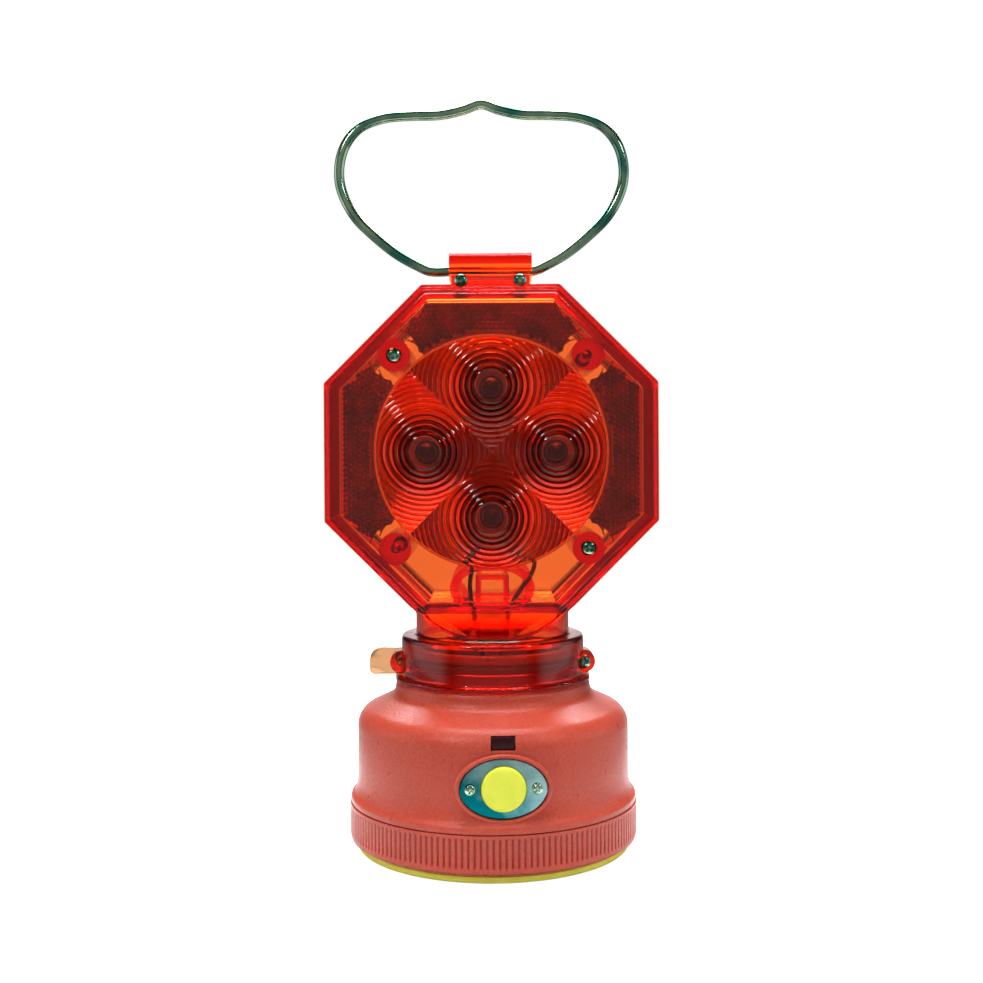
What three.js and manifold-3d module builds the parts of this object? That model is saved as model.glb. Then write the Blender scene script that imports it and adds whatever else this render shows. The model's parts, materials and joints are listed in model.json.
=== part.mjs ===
// Portable two-sided LED barricade light: round battery base, swivelling octagonal head, wire bail.
// Millimetres, +Z up, front towards -Y, origin at the centre of the foot pad's underside.
import * as THREE from "three";
import { mergeVertices } from "three/addons/utils/BufferGeometryUtils.js";
import Module from "manifold-3d";

const wasm = await Module();
wasm.setup();

// ---------------------------------------------------------------- driving dimensions
const fit = 0.3; // gap between separate pieces
const baseTurn = THREE.MathUtils.degToRad(3.9); // base front, turned towards +X from the head's front
const screw = { shaft: 1.5, hole: 1.8, head: 2.35, headHeight: 1.7 };
const faceScrew = { shaft: 1.5, hole: 1.8, head: 2.7, headHeight: 1.9 };
const smallScrew = { shaft: 0.9, hole: 1.2, head: 1.75, headHeight: 0.9 };
const clearOf = 60; // cutters end this far out, beyond every face they cut

const pad = { radius: 48.2, height: 2.2 };
const cap = { radius: 51, inner: 48.6, bottom: 2.5, top: 16.1, floor: 1.8, lip: 49.2, bevelTop: 3.8 };
const seal = { inner: 46.4, outer: 48.0, bottom: 4.6, top: 6.1 };
const housing = {
  wall: 2.2, radius: 48.2, bottom: 6.4, flange: 50.7, flangeBottom: 16.4, flangeTop: 18.5,
  cornerRadius: 7.5, cornerCentre: [40.7, 42.6], cornerSweep: THREE.MathUtils.degToRad(65),
  collarSeat: 34.6, seatZ: 57.8, neck: 28.0, bead: 29.4, beadBottom: 67.4, neckTop: 70, bore: 26,
};
const rim = { width: 31.4, height: 22.3, face: 49.4, z: 30.7, lip: 1.2 };
const plate = { thickness: 0.8, face: 48.9, screwOffset: 10.9, screwFloor: 45.6 };
const button = { radius: 7.3, flange: 8.5, face: 50.4, stemEnd: 44.6 };
const plunger = { radius: 1.5, near: 44.3, far: 41.1 };
const tact = { half: 3, front: 41.9, boreEnd: 39.3 };
const photocell = { width: 7.6, height: 4.1, z: 45, face: 46.9 };
const sensor = { radius: 2, near: 44.5, far: 41.3, drop: 0.4 };
const board = { width: 40, front: 38.6, thickness: 1.6, bottom: 9, top: 42.6, postX: 16, postZ: 39 };
const chip = { left: 7, right: 13, bottom: 14, top: 18, front: 40.3 };
const cell = { radius: 17, can: 60, nub: 1.5, nubRadius: 4.75, z: 23.3, spread: 17.2, shift: 1.2 };
const contact = { thickness: 0.5, half: 7, inner: 10, outer: 24 };
contact.x = cell.can / 2 + cell.nub / 2 + cell.shift + fit;
const cradle = { thickness: 1.6, halfDepth: 27, bottom: 8, top: 42.6, webBottom: 41.1, webHalf: 12 };
const neckRing = { inner: 28.3, outer: 29.6, bottom: 64.3, top: 66.4 };

const head = {
  z: 139.1, half: 59.3, face: 54.2, depth: 22, wall: 2, steps: [5.8, 11.8, 17.8], split: fit / 2,
};
const neck = { radius: 27.35, wall: 2, frontZ: 76, slope: 0.45 };
const collar = {
  radius: 32.5, inner: 29.9, top: 74.4, bottom: 58.2, lipRadius: 34.7, lipHeight: 1.8,
  ribInner: 28.6, ribBottom: 60.6, ribTop: 63.4,
};
const ear = { x: 32.4, z: 64.5, radius: 4.1, depth: 4.5, blind: 3.4 };
const boss = { offset: 33.2, radius: 5.6, well: 3.1, seat: 19.6, blind: 14 };
const lens = { radius: 39.5, thickness: 2, flange: 40.4, rosette: 14.8, offset: 22.7 };
const reflector = { front: 19.6, back: 18.2, edge: 51.8, inner: 41, corner: 7.4, cornerCut: 34.6 };
const guide = {
  z: 92.4, width: 29, height: 19, rib: 3, square: 11.4, squareZ: 91.2, bore: 8, bottom: 86,
  near: -21.5, back: -13.5, lensBehind: -17.6,
};
const led = { radius: 2.5, height: 8.6 };
const ledBoard = { reach: 29, width: 11, thickness: 1.6 };
const lead = { radius: 0.8, y: 4 };

const bail = { radius: 1.85, z: 203.9, shift: -3, straight: 18.5, join: 0.5, peak: 59.6 };
const clip = { width: 29.3, half: 6.3, top: 211.2, bottom: 199.5, slot: 4.5, screwX: 10.45, screwZ: 199.6 };
const lug = { half: 13.9, depth: 4.2, top: 201.7, bottom: 196.9 };
const tab = { left: -44.6, right: -28.5, bottom: 58.7, top: 68.4, near: 4.8, far: 6.4 };

// ---------------------------------------------------------------- closed solids
function solid(geometry) {
  const bare = geometry.clone();
  bare.deleteAttribute("normal");
  bare.deleteAttribute("uv");
  const merged = mergeVertices(bare, 1e-4);
  const at = merged.attributes.position;
  const corner = (i) => new THREE.Vector3().fromBufferAttribute(at, i);
  const kept = [];
  let volume = 0;
  for (let i = 0; i < merged.index.count; i += 3) {
    const [a, b, c] = [0, 1, 2].map((k) => merged.index.getX(i + k));
    if (a === b || b === c || c === a) continue;
    kept.push(a, b, c);
    volume += corner(a).dot(corner(b).cross(corner(c)));
  }
  if (volume < 0) kept.reverse();
  const mesh = { numProp: 3, vertProperties: at.array, triVerts: new Uint32Array(kept) };
  return new wasm.Manifold(new wasm.Mesh(mesh));
}

function geometryOf(manifold) {
  const mesh = manifold.getMesh();
  const geometry = new THREE.BufferGeometry();
  geometry.setAttribute("position", new THREE.BufferAttribute(new Float32Array(mesh.vertProperties), 3));
  geometry.setIndex(new THREE.BufferAttribute(mesh.triVerts, 1));
  geometry.computeVertexNormals();
  return geometry;
}

const sum = (...parts) => parts.reduce((a, b) => a.add(b));

// round bar along Z from z0 to z1
function barZ(radius, z0, z1, x = 0, y = 0, sides = 48) {
  const bar = new THREE.CylinderGeometry(radius, radius, z1 - z0, sides);
  return solid(bar.rotateX(Math.PI / 2).translate(x, y, (z0 + z1) / 2));
}

// round bar along Y from y0 to y1
function barY(radius, y0, y1, x, z, sides = 24) {
  const bar = new THREE.CylinderGeometry(radius, radius, y1 - y0, sides);
  return solid(bar.translate(x, (y0 + y1) / 2, z));
}

function block([x0, x1], [y0, y1], [z0, z1]) {
  const box = new THREE.BoxGeometry(x1 - x0, y1 - y0, z1 - z0);
  return solid(box.translate((x0 + x1) / 2, (y0 + y1) / 2, (z0 + z1) / 2));
}

// closed [radius, height] profile turned about Z
function turnedZ(profile, sides = 44) {
  const points = profile.map(([r, z]) => new THREE.Vector2(r, z));
  return solid(new THREE.LatheGeometry(points, sides).rotateX(Math.PI / 2));
}

// closed [radius, y] profile turned about Y
function turnedY(profile, sides) {
  return solid(new THREE.LatheGeometry(profile.map(([r, y]) => new THREE.Vector2(r, y)), sides));
}

// [half width across flats, y] profile swept into an octagonal solid about the head's axis
function octagon(profile) {
  const points = profile.map(([half, y]) => new THREE.Vector2(half / Math.cos(Math.PI / 8), y));
  return solid(new THREE.LatheGeometry(points, 8, Math.PI / 8).translate(0, 0, head.z));
}

// outline drawn in the X-Z plane, extruded along Y from y0 to y1
function plateY(shape, y0, y1, curveSegments = 12) {
  const flat = new THREE.ExtrudeGeometry(shape, { depth: y1 - y0, bevelEnabled: false, curveSegments });
  return solid(flat.rotateX(Math.PI / 2).translate(0, y1, 0));
}

function ellipse(width, height, z) {
  return new THREE.Shape().absellipse(0, z, width / 2, height / 2, 0, Math.PI * 2);
}

// half-space on the front side of a plane through (y, z), rising backwards by slope
function inFrontOf(y, z, slope) {
  const size = 200;
  const box = new THREE.BoxGeometry(size, size, size).translate(0, 0, size / 2);
  return solid(box.rotateX(Math.atan(slope)).translate(0, y, z));
}

// pan-head screw: the head's underside is at y = 0, its top towards -Y, and the shaft runs to +Y
function screwY(size, length) {
  const top = -size.headHeight;
  return turnedY([[0, top], [size.head * 0.72, top], [size.head, top * 0.55], [size.head, 0], [size.shaft, 0],
    [size.shaft, length - 0.8], [size.shaft * 0.4, length], [0, length]], 12);
}

// wire of round section following a curve
function wire(curve, radius, sides, steps) {
  const section = new THREE.Shape().absarc(0, 0, radius, 0, Math.PI * 2);
  return solid(new THREE.ExtrudeGeometry(section, { steps, curveSegments: sides / 2, extrudePath: curve }));
}

// ---------------------------------------------------------------- base
function footPad() {
  const { radius, height } = pad;
  return turnedZ([[0, 0], [radius - 0.8, 0], [radius, 0.6], [radius, height], [0, height]]);
}

function batteryCap() {
  return turnedZ([
    [0, cap.bottom], [cap.lip - 1.2, cap.bottom], [cap.lip, cap.bottom + 0.2], [cap.radius, cap.bevelTop],
    [cap.radius, cap.top - 0.3], [cap.radius - 0.3, cap.top], [cap.inner, cap.top],
    [cap.inner, cap.bottom + cap.floor], [0, cap.bottom + cap.floor],
  ], 48);
}

function capSeal() {
  const { inner, outer, bottom, top } = seal;
  return turnedZ([[inner, bottom], [outer, bottom], [outer, top], [inner, top], [inner, bottom]], 32);
}

// outer skin of the base, from the skirt's foot up to the collar seat
function housingSkin(offset) {
  const h = housing;
  const [cr, cz] = h.cornerCentre;
  const radius = h.cornerRadius - offset;
  const points = [];
  const steps = 3;
  for (let i = 0; i <= steps; i++) {
    const a = (h.cornerSweep * i) / steps;
    points.push([cr + radius * Math.cos(a), cz + radius * Math.sin(a)]);
  }
  const [lastR, lastZ] = points[points.length - 1];
  const run = 5.2 - offset * 0.2;
  const foot = new THREE.Vector2(lastR - run, lastZ + run / Math.tan(h.cornerSweep));
  const bend = new THREE.CubicBezierCurve(
    foot,
    new THREE.Vector2(foot.x - 2.4, foot.y + 1.1),
    new THREE.Vector2(h.collarSeat - offset, foot.y + 1.6),
    new THREE.Vector2(h.collarSeat - offset, h.seatZ - offset),
  );
  return points.concat(bend.getPoints(3).map((p) => [p.x, p.y]));
}

function baseHousing() {
  const h = housing;
  const inner = h.radius - h.wall;
  const flare = [[h.flange, h.flangeBottom], [h.flange, h.flangeTop], [49.4, 19.6], [48.5, 22.2]];
  const spigot = [[h.neck, h.seatZ], [h.neck, h.beadBottom], [h.bead, h.beadBottom], [h.bead, h.neckTop]];
  const outside = [[inner, h.bottom], [h.radius, h.bottom], [h.radius, h.flangeBottom], ...flare,
    ...housingSkin(0), ...spigot];
  const inside = [[h.bore, h.neckTop], [h.bore, h.seatZ - h.wall], ...housingSkin(h.wall).reverse()];
  let body = turnedZ([...outside, ...inside, [inner, h.bottom]]);

  const interior = barZ(inner + 0.5, h.bottom, h.cornerCentre[1]);
  const bezel = plateY(ellipse(rim.width, rim.height, rim.z), -rim.face, 0.9 - inner, 10).subtract(interior);
  const posts = [-1, 1].map((side) =>
    barY(2, -(inner - 0.6), -(board.front + fit), side * board.postX, board.postZ, 10));
  body = sum(body, onBaseFront(bezel), ...posts.map(onBaseFront));

  const ledge = plate.face - plate.thickness - fit;
  const opening = ellipse(rim.width - 2 * rim.lip, rim.height - 2 * rim.lip, rim.z);
  const pocket = plateY(opening, -clearOf, -ledge, 10);
  const buttonWell = barY(button.flange + fit, -clearOf, -board.front, 0, rim.z, 20);
  const screwHoles = [-1, 1].map((side) =>
    barY(smallScrew.hole, -clearOf, -plate.screwFloor, side * plate.screwOffset, rim.z, 8));
  const halfWidth = photocell.width / 2 + fit;
  const halfHeight = photocell.height / 2 + fit;
  const windowHole = block([-halfWidth, halfWidth], [-clearOf, -board.front],
    [photocell.z - halfHeight, photocell.z + halfHeight]);
  return body.subtract(onBaseFront(sum(pocket, buttonWell, ...screwHoles, windowHole)));
}

// turns a piece drawn square to -Y onto the base's own front
function onBaseFront(manifold) {
  return manifold.rotate([0, 0, THREE.MathUtils.radToDeg(baseTurn)]);
}

function switchPlate() {
  const back = -(plate.face - plate.thickness);
  const gap = rim.lip + fit;
  const blank = plateY(ellipse(rim.width - 2 * gap, rim.height - 2 * gap, rim.z), -plate.face, back, 10);
  const hole = (radius, x, sides) => barY(radius, -clearOf, -board.front, x, rim.z, sides);
  const screwHoles = [-1, 1].map((side) => hole(smallScrew.hole, side * plate.screwOffset, 8));
  return onBaseFront(blank.subtract(sum(hole(button.radius + fit, 0, 24), ...screwHoles)));
}

function plateScrew(side) {
  const seat = -(plate.face + fit);
  return onBaseFront(screwY(smallScrew, 3.6).translate([side * plate.screwOffset, seat, rim.z]));
}

function pushButton() {
  const back = -(plate.face - plate.thickness - fit);
  const { radius, face, flange } = button;
  const crown = turnedY([
    [0, -face], [radius - 0.9, -face + 0.05], [radius - 0.25, -face + 0.25], [radius, -face + 0.8],
    [radius, back], [flange, back], [flange, back + 1], [0, back + 1],
  ], 24);
  const stem = barY(2, back + 0.5, -button.stemEnd, 0, 0, 8);
  return onBaseFront(crown.add(stem).translate([0, 0, rim.z]));
}

function tactPlunger() {
  return onBaseFront(barY(plunger.radius, -plunger.near, -plunger.far, 0, rim.z, 12));
}

function tactSwitch() {
  const { half, front, boreEnd } = tact;
  const shellBox = block([-half, half], [-front, -(board.front + fit)], [rim.z - half, rim.z + half]);
  return onBaseFront(shellBox.subtract(barY(plunger.radius + fit, -clearOf, -boreEnd, 0, rim.z, 12)));
}

function photocellWindow() {
  const { width, height, z, face } = photocell;
  return onBaseFront(block([-width / 2, width / 2], [-face, -face + 2], [z - height / 2, z + height / 2]));
}

function photocellSensor() {
  return onBaseFront(barY(sensor.radius, -sensor.near, -sensor.far, 0, photocell.z - sensor.drop, 12));
}

function controlBoard() {
  const { width, front, thickness, bottom, top } = board;
  return onBaseFront(block([-width / 2, width / 2], [-front, -front + thickness], [bottom, top]));
}

function flasherChip() {
  const { left, right, bottom, top, front } = chip;
  return onBaseFront(block([left, right], [-front, -(board.front + fit)], [bottom, top]));
}

// D-size cell lying along X, positive nub towards the given side
function batteryCell(side) {
  const { radius, can, nub, nubRadius, z, spread, shift } = cell;
  const flat = -can / 2 - nub / 2;
  const top = can / 2 - nub / 2;
  const profile = [[0, flat], [radius - 1, flat], [radius, flat + 1], [radius, top - 1], [radius - 1, top],
    [nubRadius, top], [nubRadius, top + nub], [0, top + nub]];
  return turnedY(profile, 20).rotate([0, 0, -90 * side]).translate([side * shift, side * spread, z]);
}

// flat contact strip just beyond the nubs, on the side given
function contactPlate(side, [y0, y1]) {
  const near = side * contact.x;
  const far = side * (contact.x + contact.thickness);
  const across = [Math.min(near, far), Math.max(near, far)];
  return block(across, [y0, y1], [cell.z - contact.half, cell.z + contact.half]);
}

// conical compression spring between a contact strip and the flat end of the cell that faces it
function batterySpring(side) {
  const spring = { wire: 0.4, wide: 7, narrow: 3.5, turns: 1.6, pitch: 1.55 };
  const start = contact.x - fit - spring.wire;
  class Cone extends THREE.Curve {
    getPoint(t, target = new THREE.Vector3()) {
      const a = t * spring.turns * Math.PI * 2;
      const r = spring.wide + (spring.narrow - spring.wide) * t;
      const x = side * (start - spring.pitch * t);
      return target.set(x, -side * cell.spread + r * Math.cos(a), cell.z + r * Math.sin(a));
    }
  }
  return wire(new Cone(), spring.wire, 6, 20);
}

function batteryCradle() {
  const near = contact.x + contact.thickness + fit;
  const far = near + cradle.thickness;
  const { halfDepth, bottom, top, webBottom, webHalf } = cradle;
  const cheek = (x0, x1) => block([x0, x1], [-halfDepth, halfDepth], [bottom, top]);
  const web = block([-far, far], [-webHalf, webHalf], [webBottom, top]);
  return sum(cheek(near, far), cheek(-far, -near), web);
}

function neckSeal() {
  const { inner, outer, bottom, top } = neckRing;
  return turnedZ([[inner, bottom], [outer, bottom], [outer, top], [inner, top], [inner, bottom]], 32);
}

// ---------------------------------------------------------------- head
// [half width, y] corners of the steps that narrow the head from its parting line to its face
function headSteps(inset) {
  const { half, face, steps } = head;
  const tread = (half - face) / steps.length;
  return steps.flatMap((step, k) => [0, 1].map((past) => [half - inset - (k + past) * tread, inset - step]));
}

// one head half as seen from the front; the rear half is the same moulding turned half a turn about Z
function headShell() {
  const { half, face, depth, wall, split } = head;
  const parting = -split;
  const bevel = 0.5;
  const body = octagon([[0, parting], [half, parting], ...headSteps(0), [face, bevel - depth],
    [face - bevel, -depth], [0, -depth]]);
  const hollow = octagon([[0, 5], [half - wall, 5], ...headSteps(wall), [face - wall, wall - depth],
    [0, wall - depth]]);

  const behindParting = block([-100, 100], [parting, 100], [0, 300]);
  const neckCut = inFrontOf(-neck.radius, neck.frontZ, neck.slope);
  const neckHollowCut = inFrontOf(-neck.radius, neck.frontZ - neck.wall * 1.1, neck.slope);
  const neckBody = barZ(neck.radius, collar.top - 0.5, 95, 0, 0, 44).subtract(neckCut);
  const neckHollow = barZ(neck.radius - neck.wall, 70, 95, 0, 0, 44).subtract(neckHollowCut);

  const posts = [-1, 1].flatMap((sx) => [-1, 1].map((sz) =>
    barY(boss.radius, -depth + 0.5, parting, sx * boss.offset, head.z + sz * boss.offset, 12)));
  const opening = barY(lens.radius + fit, -40, -10, 0, head.z, 48);
  const skin = sum(body, neckBody).subtract(sum(hollow, neckHollow)).subtract(opening);
  const lugBar = block([-lug.half, lug.half], [-lug.depth, parting], [lug.bottom, lug.top]);
  const ears = [-1, 1].map((side) => barY(ear.radius, -ear.depth, parting, side * ear.x, ear.z, 12));
  const solidParts = sum(skin, collarSleeve(), lugBar, ...posts, ...ears, wireGuide());
  return solidParts.subtract(sum(shellHoles(), behindParting, collarBore()));
}

function collarSleeve() {
  const { radius, top, bottom, lipRadius, lipHeight } = collar;
  const bevel = 0.8;
  const lipTop = bottom + lipHeight;
  const core = neck.radius - 1;
  return turnedZ([
    [core, bottom], [lipRadius, bottom], [lipRadius, lipTop - 0.3], [radius + 0.5, lipTop],
    [radius, lipTop + bevel], [radius, top - bevel], [radius - bevel, top], [neck.radius + bevel, top],
    [neck.radius, top + bevel], [core, top + bevel], [core, bottom],
  ]);
}

// bore that turns round the base's neck, with a rib that catches under the neck's bead
function collarBore() {
  const { inner, bottom, top, ribInner, ribBottom, ribTop } = collar;
  const ramp = inner - ribInner;
  const ceiling = top - neck.wall;
  const neckBore = neck.radius - neck.wall;
  return turnedZ([[0, bottom - 5], [inner, bottom - 5], [inner, ribBottom - ramp], [ribInner, ribBottom],
    [ribInner, ribTop], [inner, ribTop + ramp / 2], [inner, ceiling - 0.2], [neckBore, ceiling],
    [neckBore, top + 1], [0, top + 1]]);
}

// oval rib and square post frame inside the lower face, which steer the leads into the neck
function wireGuide() {
  const { z, width, height, rib, square, squareZ, bore, near, back, lensBehind } = guide;
  const oval = plateY(ellipse(width, height, z), near, back, 7)
    .subtract(plateY(ellipse(width - 2 * rib, height - 2 * rib, z), -clearOf, 0, 7));
  const frame = block([-square / 2, square / 2], [near, back], [squareZ - square / 2, squareZ + square / 2]);
  const floor = -head.depth + head.wall;
  const cavity = block([-bore / 2, bore / 2], [floor, 0], [squareZ - bore / 2, squareZ + bore / 2]);
  const lensSpace = block([-width, width], [-clearOf, lensBehind], [head.z - lens.flange - fit, head.z]);
  const below = block([-width, width], [-clearOf, 0], [guide.bottom - height, guide.bottom]);
  return sum(oval, frame).subtract(sum(cavity, lensSpace, below));
}

// screw holes run through to the face on one diagonal and stop short of it on the other
function shellHoles() {
  const hole = (depth, x, z) => barY(screw.hole, -depth, 5, x, z, 8);
  const holes = [];
  for (const [sx, sz] of [[-1, 1], [1, -1]]) {
    const [x, z] = [sx * boss.offset, head.z + sz * boss.offset];
    holes.push(barY(boss.well, -clearOf, -boss.seat, x, z, 12), hole(clearOf, x, z));
    holes.push(hole(boss.blind, -x, z));
  }
  holes.push(hole(clearOf, -clip.screwX, clip.screwZ), hole(clearOf, clip.screwX, clip.screwZ));
  holes.push(hole(clearOf, ear.x, ear.z), hole(ear.blind, -ear.x, ear.z));
  holes.push(barY(screw.head + fit, -clearOf, -ear.depth, ear.x, ear.z, 12));
  return sum(...holes);
}

// disc that fills the face opening, with a flange behind it and four round optics inside
function lensDisc() {
  const face = -head.depth;
  const back = face + lens.thickness + fit;
  let disc = barY(lens.radius, face, back + 0.5, 0, head.z, 48);
  disc = disc.add(barY(lens.flange, back, back + 1, 0, head.z, 48));
  for (const [dx, dz] of [[0, 1], [0, -1], [-1, 0], [1, 0]]) {
    const [x, z] = [dx * lens.offset, head.z + dz * lens.offset];
    disc = disc.add(barY(lens.rosette, back, back + 2.2, x, z, 16));
  }
  return disc;
}

// prismatic panel inside the face, bounded by the lens, the octagon's edge and two corner bosses
function reflectorPanel(turn) {
  const { front, back, edge, inner, corner, cornerCut } = reflector;
  const slab = octagon([[0, -front], [edge, -front], [edge, -back], [0, -back]]);
  const sector = new THREE.Shape([
    new THREE.Vector2(0, head.z), new THREE.Vector2(-clearOf, head.z + clearOf),
    new THREE.Vector2(clearOf, head.z + clearOf),
  ]);
  const depth = [-clearOf, 0];
  const above = [head.z + cornerCut, head.z + clearOf];
  const cuts = [barY(inner, ...depth, 0, head.z, 48), block([-clearOf, -cornerCut], depth, above),
    block([cornerCut, clearOf], depth, above)];
  for (const side of [-1, 1]) {
    cuts.push(barY(corner, ...depth, side * boss.offset, head.z + boss.offset, 16));
  }
  const panel = slab.intersect(plateY(sector, ...depth)).subtract(sum(...cuts));
  return panel.translate([0, 0, -head.z]).rotate([0, turn, 0]).translate([0, 0, head.z]);
}

function ledPiece(dx, dz) {
  const back = -ledBoard.thickness / 2 - fit;
  const { radius, height } = led;
  const profile = [[0, back], [radius + 0.4, back], [radius + 0.4, back - 1], [radius, back - 1],
    [radius, back - height + radius], [radius * 0.72, back - height + 0.75], [0, back - height]];
  return turnedY(profile, 10).translate([dx * lens.offset, 0, head.z + dz * lens.offset]);
}

// two crossed strips that carry the diodes of both faces
function ledBoardCross() {
  const { reach, width, thickness } = ledBoard;
  const strip = (x, z) => block([-x, x], [-thickness / 2, thickness / 2], [head.z - z, head.z + z]);
  return strip(reach, width / 2).add(strip(width / 2, reach));
}

function cornerScrew(sx, sz) {
  const length = boss.seat + fit + boss.blind - 2;
  const [x, z] = [sx * boss.offset, head.z + sz * boss.offset];
  return screwY(faceScrew, length).translate([x, -(boss.seat + fit), z]);
}

function collarScrew(seat) {
  return screwY(screw, ear.depth + seat + 1.6).translate([ear.x, -(ear.depth + seat), ear.z]);
}

function sideTab() {
  const { left, right, bottom, top, near, far } = tab;
  const shape = new THREE.Shape();
  shape.moveTo(right, bottom);
  shape.lineTo(left + 2, bottom);
  shape.quadraticCurveTo(left, bottom, left, bottom + 2);
  shape.lineTo(left, top - 4.5);
  shape.quadraticCurveTo(left + 0.6, top, left + 5.5, top);
  shape.lineTo(right, top);
  const clearance = 0.8;
  const hole = barY(screw.hole, 0, far + 1, -ear.x, ear.z, 12);
  const sleeve = barZ(collar.radius + clearance, bottom - 1, top + 1);
  const lip = barZ(collar.lipRadius + clearance, bottom - 1, collar.bottom + collar.lipHeight + fit);
  return plateY(shape, near, far, 6).subtract(sum(sleeve, lip, hole));
}

// lead through the given [x, z] points, from the diode board down into the base
function leadWire(side, route) {
  const y = side * lead.y;
  const end = new THREE.Vector3(side * 3.4, 0, housing.seatZ + 3);
  const path = new THREE.CatmullRomCurve3([...route.map(([x, z]) => new THREE.Vector3(x, y, z)), end]);
  return wire(path, lead.radius, 8, 20);
}

// ---------------------------------------------------------------- bail and its clip
function bailClip() {
  const { width, half, top, bottom, slot } = clip;
  const crown = top - half;
  const groove = bail.radius + fit;
  const shape = new THREE.Shape();
  shape.moveTo(-half + 1, bottom);
  shape.lineTo(-half + 1, bail.z - 0.8);
  shape.lineTo(-half, bail.z - 0.2);
  shape.lineTo(-half, crown);
  shape.absarc(0, crown, half, Math.PI, 0, true);
  shape.lineTo(half, bail.z - 0.2);
  shape.lineTo(half - 1, bail.z - 0.8);
  shape.lineTo(half - 1, bottom);
  shape.lineTo(slot, bottom);
  shape.lineTo(slot, lug.top + fit);
  shape.lineTo(groove, lug.top + fit);
  shape.lineTo(groove, bail.z);
  shape.absarc(0, bail.z, groove, 0, Math.PI, false);
  shape.lineTo(-groove, lug.top + fit);
  shape.lineTo(-slot, lug.top + fit);
  shape.lineTo(-slot, bottom);
  const flat = new THREE.ExtrudeGeometry(shape, { depth: width, bevelEnabled: false, curveSegments: 8 });
  const hood = solid(flat.rotateX(Math.PI / 2).rotateZ(Math.PI / 2).translate(-width / 2, 0, 0));
  const above = block([-width, width], [-width, width], [bottom, top]);
  const bosses = [-1, 1].map((side) =>
    barY(3.5, -half + 0.3, -slot - 0.2, side * clip.screwX, clip.screwZ, 16).intersect(above));
  const holes = [-1, 1].map((side) =>
    barY(screw.hole, -clearOf, slot + 1.2, side * clip.screwX, clip.screwZ, 8));
  return sum(hood, ...bosses).subtract(sum(...holes));
}

function clipScrew(side) {
  return screwY(screw, 10.8).translate([side * clip.screwX, -(clip.half - 0.3 + fit), clip.screwZ]);
}

// wire handle: [half width, height above the hinge] from the bottom bend round to the peak
function bailWire() {
  const side = [[bail.straight, 0], [23.2, 2.0], [30.4, 6.1], [38.5, 12.6], [45.4, 19.7], [50.2, 29.4],
    [50.8, 37.6], [48.6, 45.2], [43.4, 51.4], [35, 54.7], [25, 55.6], [14.5, 55.9], [6.5, 57.6]];
  const at = (x, h) => new THREE.Vector3(x + bail.shift, 0, bail.z + h);
  const right = [at(bail.join, 0), at(10, 0), ...side.map(([x, h]) => at(x, h))];
  const left = [at(-bail.join, 0), at(-10, 0), ...side.map(([x, h]) => at(-x, h))];
  const knots = [...right, at(0, bail.peak), ...left.reverse()];
  const path = new THREE.CatmullRomCurve3(knots, false, "centripetal");
  return wire(path, bail.radius, 8, 76);
}

// ---------------------------------------------------------------- finishes
function plastic(color, opacity = 1) {
  const transparent = opacity < 1;
  return new THREE.MeshStandardMaterial({ color, roughness: 0.4, metalness: 0, opacity, transparent });
}

function metal(color) {
  return new THREE.MeshStandardMaterial({ color, roughness: 0.25, metalness: 1 });
}

const finish = {
  body: plastic("#c8483a"), clear: plastic("#e8491f", 0.6), lens: plastic("#b81e10", 0.6),
  reflector: plastic("#5a1012"), yellow: plastic("#d9e249"), dark: plastic("#2a0a0e"),
  steel: metal("#8fa39a"), board: plastic("#a8a89e"), black: plastic("#161616"),
  rubber: plastic("#7a1c14"), cellWrap: plastic("#3c5a8c"), red: plastic("#8e1510"),
};

// ---------------------------------------------------------------- assembly
const light = new THREE.Group();

function add(name, manifold, look, parent = light) {
  const mesh = new THREE.Mesh(geometryOf(manifold), finish[look].clone());
  mesh.name = name;
  parent.add(mesh);
}

add("base_housing", baseHousing(), "body");
add("switch_plate", switchPlate(), "steel");
add("plate_screw_left", plateScrew(-1), "steel");
add("plate_screw_right", plateScrew(1), "steel");
add("photocell_window", photocellWindow(), "dark");
add("photocell_sensor", photocellSensor(), "black");
add("control_board", controlBoard(), "board");
add("tact_switch", tactSwitch(), "black");
add("flasher_chip", flasherChip(), "black");
add("battery_cradle", batteryCradle(), "black");
add("battery_cell_front", batteryCell(-1), "cellWrap");
add("battery_cell_rear", batteryCell(1), "cellWrap");
add("battery_link", contactPlate(-1, [-contact.outer, contact.outer]), "steel");
add("positive_tab", contactPlate(1, [contact.inner, contact.outer]), "steel");
add("negative_tab", contactPlate(1, [-contact.outer, -contact.inner]), "steel");
add("battery_spring_front", batterySpring(1), "steel");
add("battery_spring_rear", batterySpring(-1), "steel");
add("neck_seal", neckSeal(), "rubber");
add("cap_seal", capSeal(), "rubber");
add("battery_cap", batteryCap(), "body");
add("foot_pad", footPad(), "yellow");
add("push_button", pushButton(), "yellow");
add("tact_plunger", tactPlunger(), "black");

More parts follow.
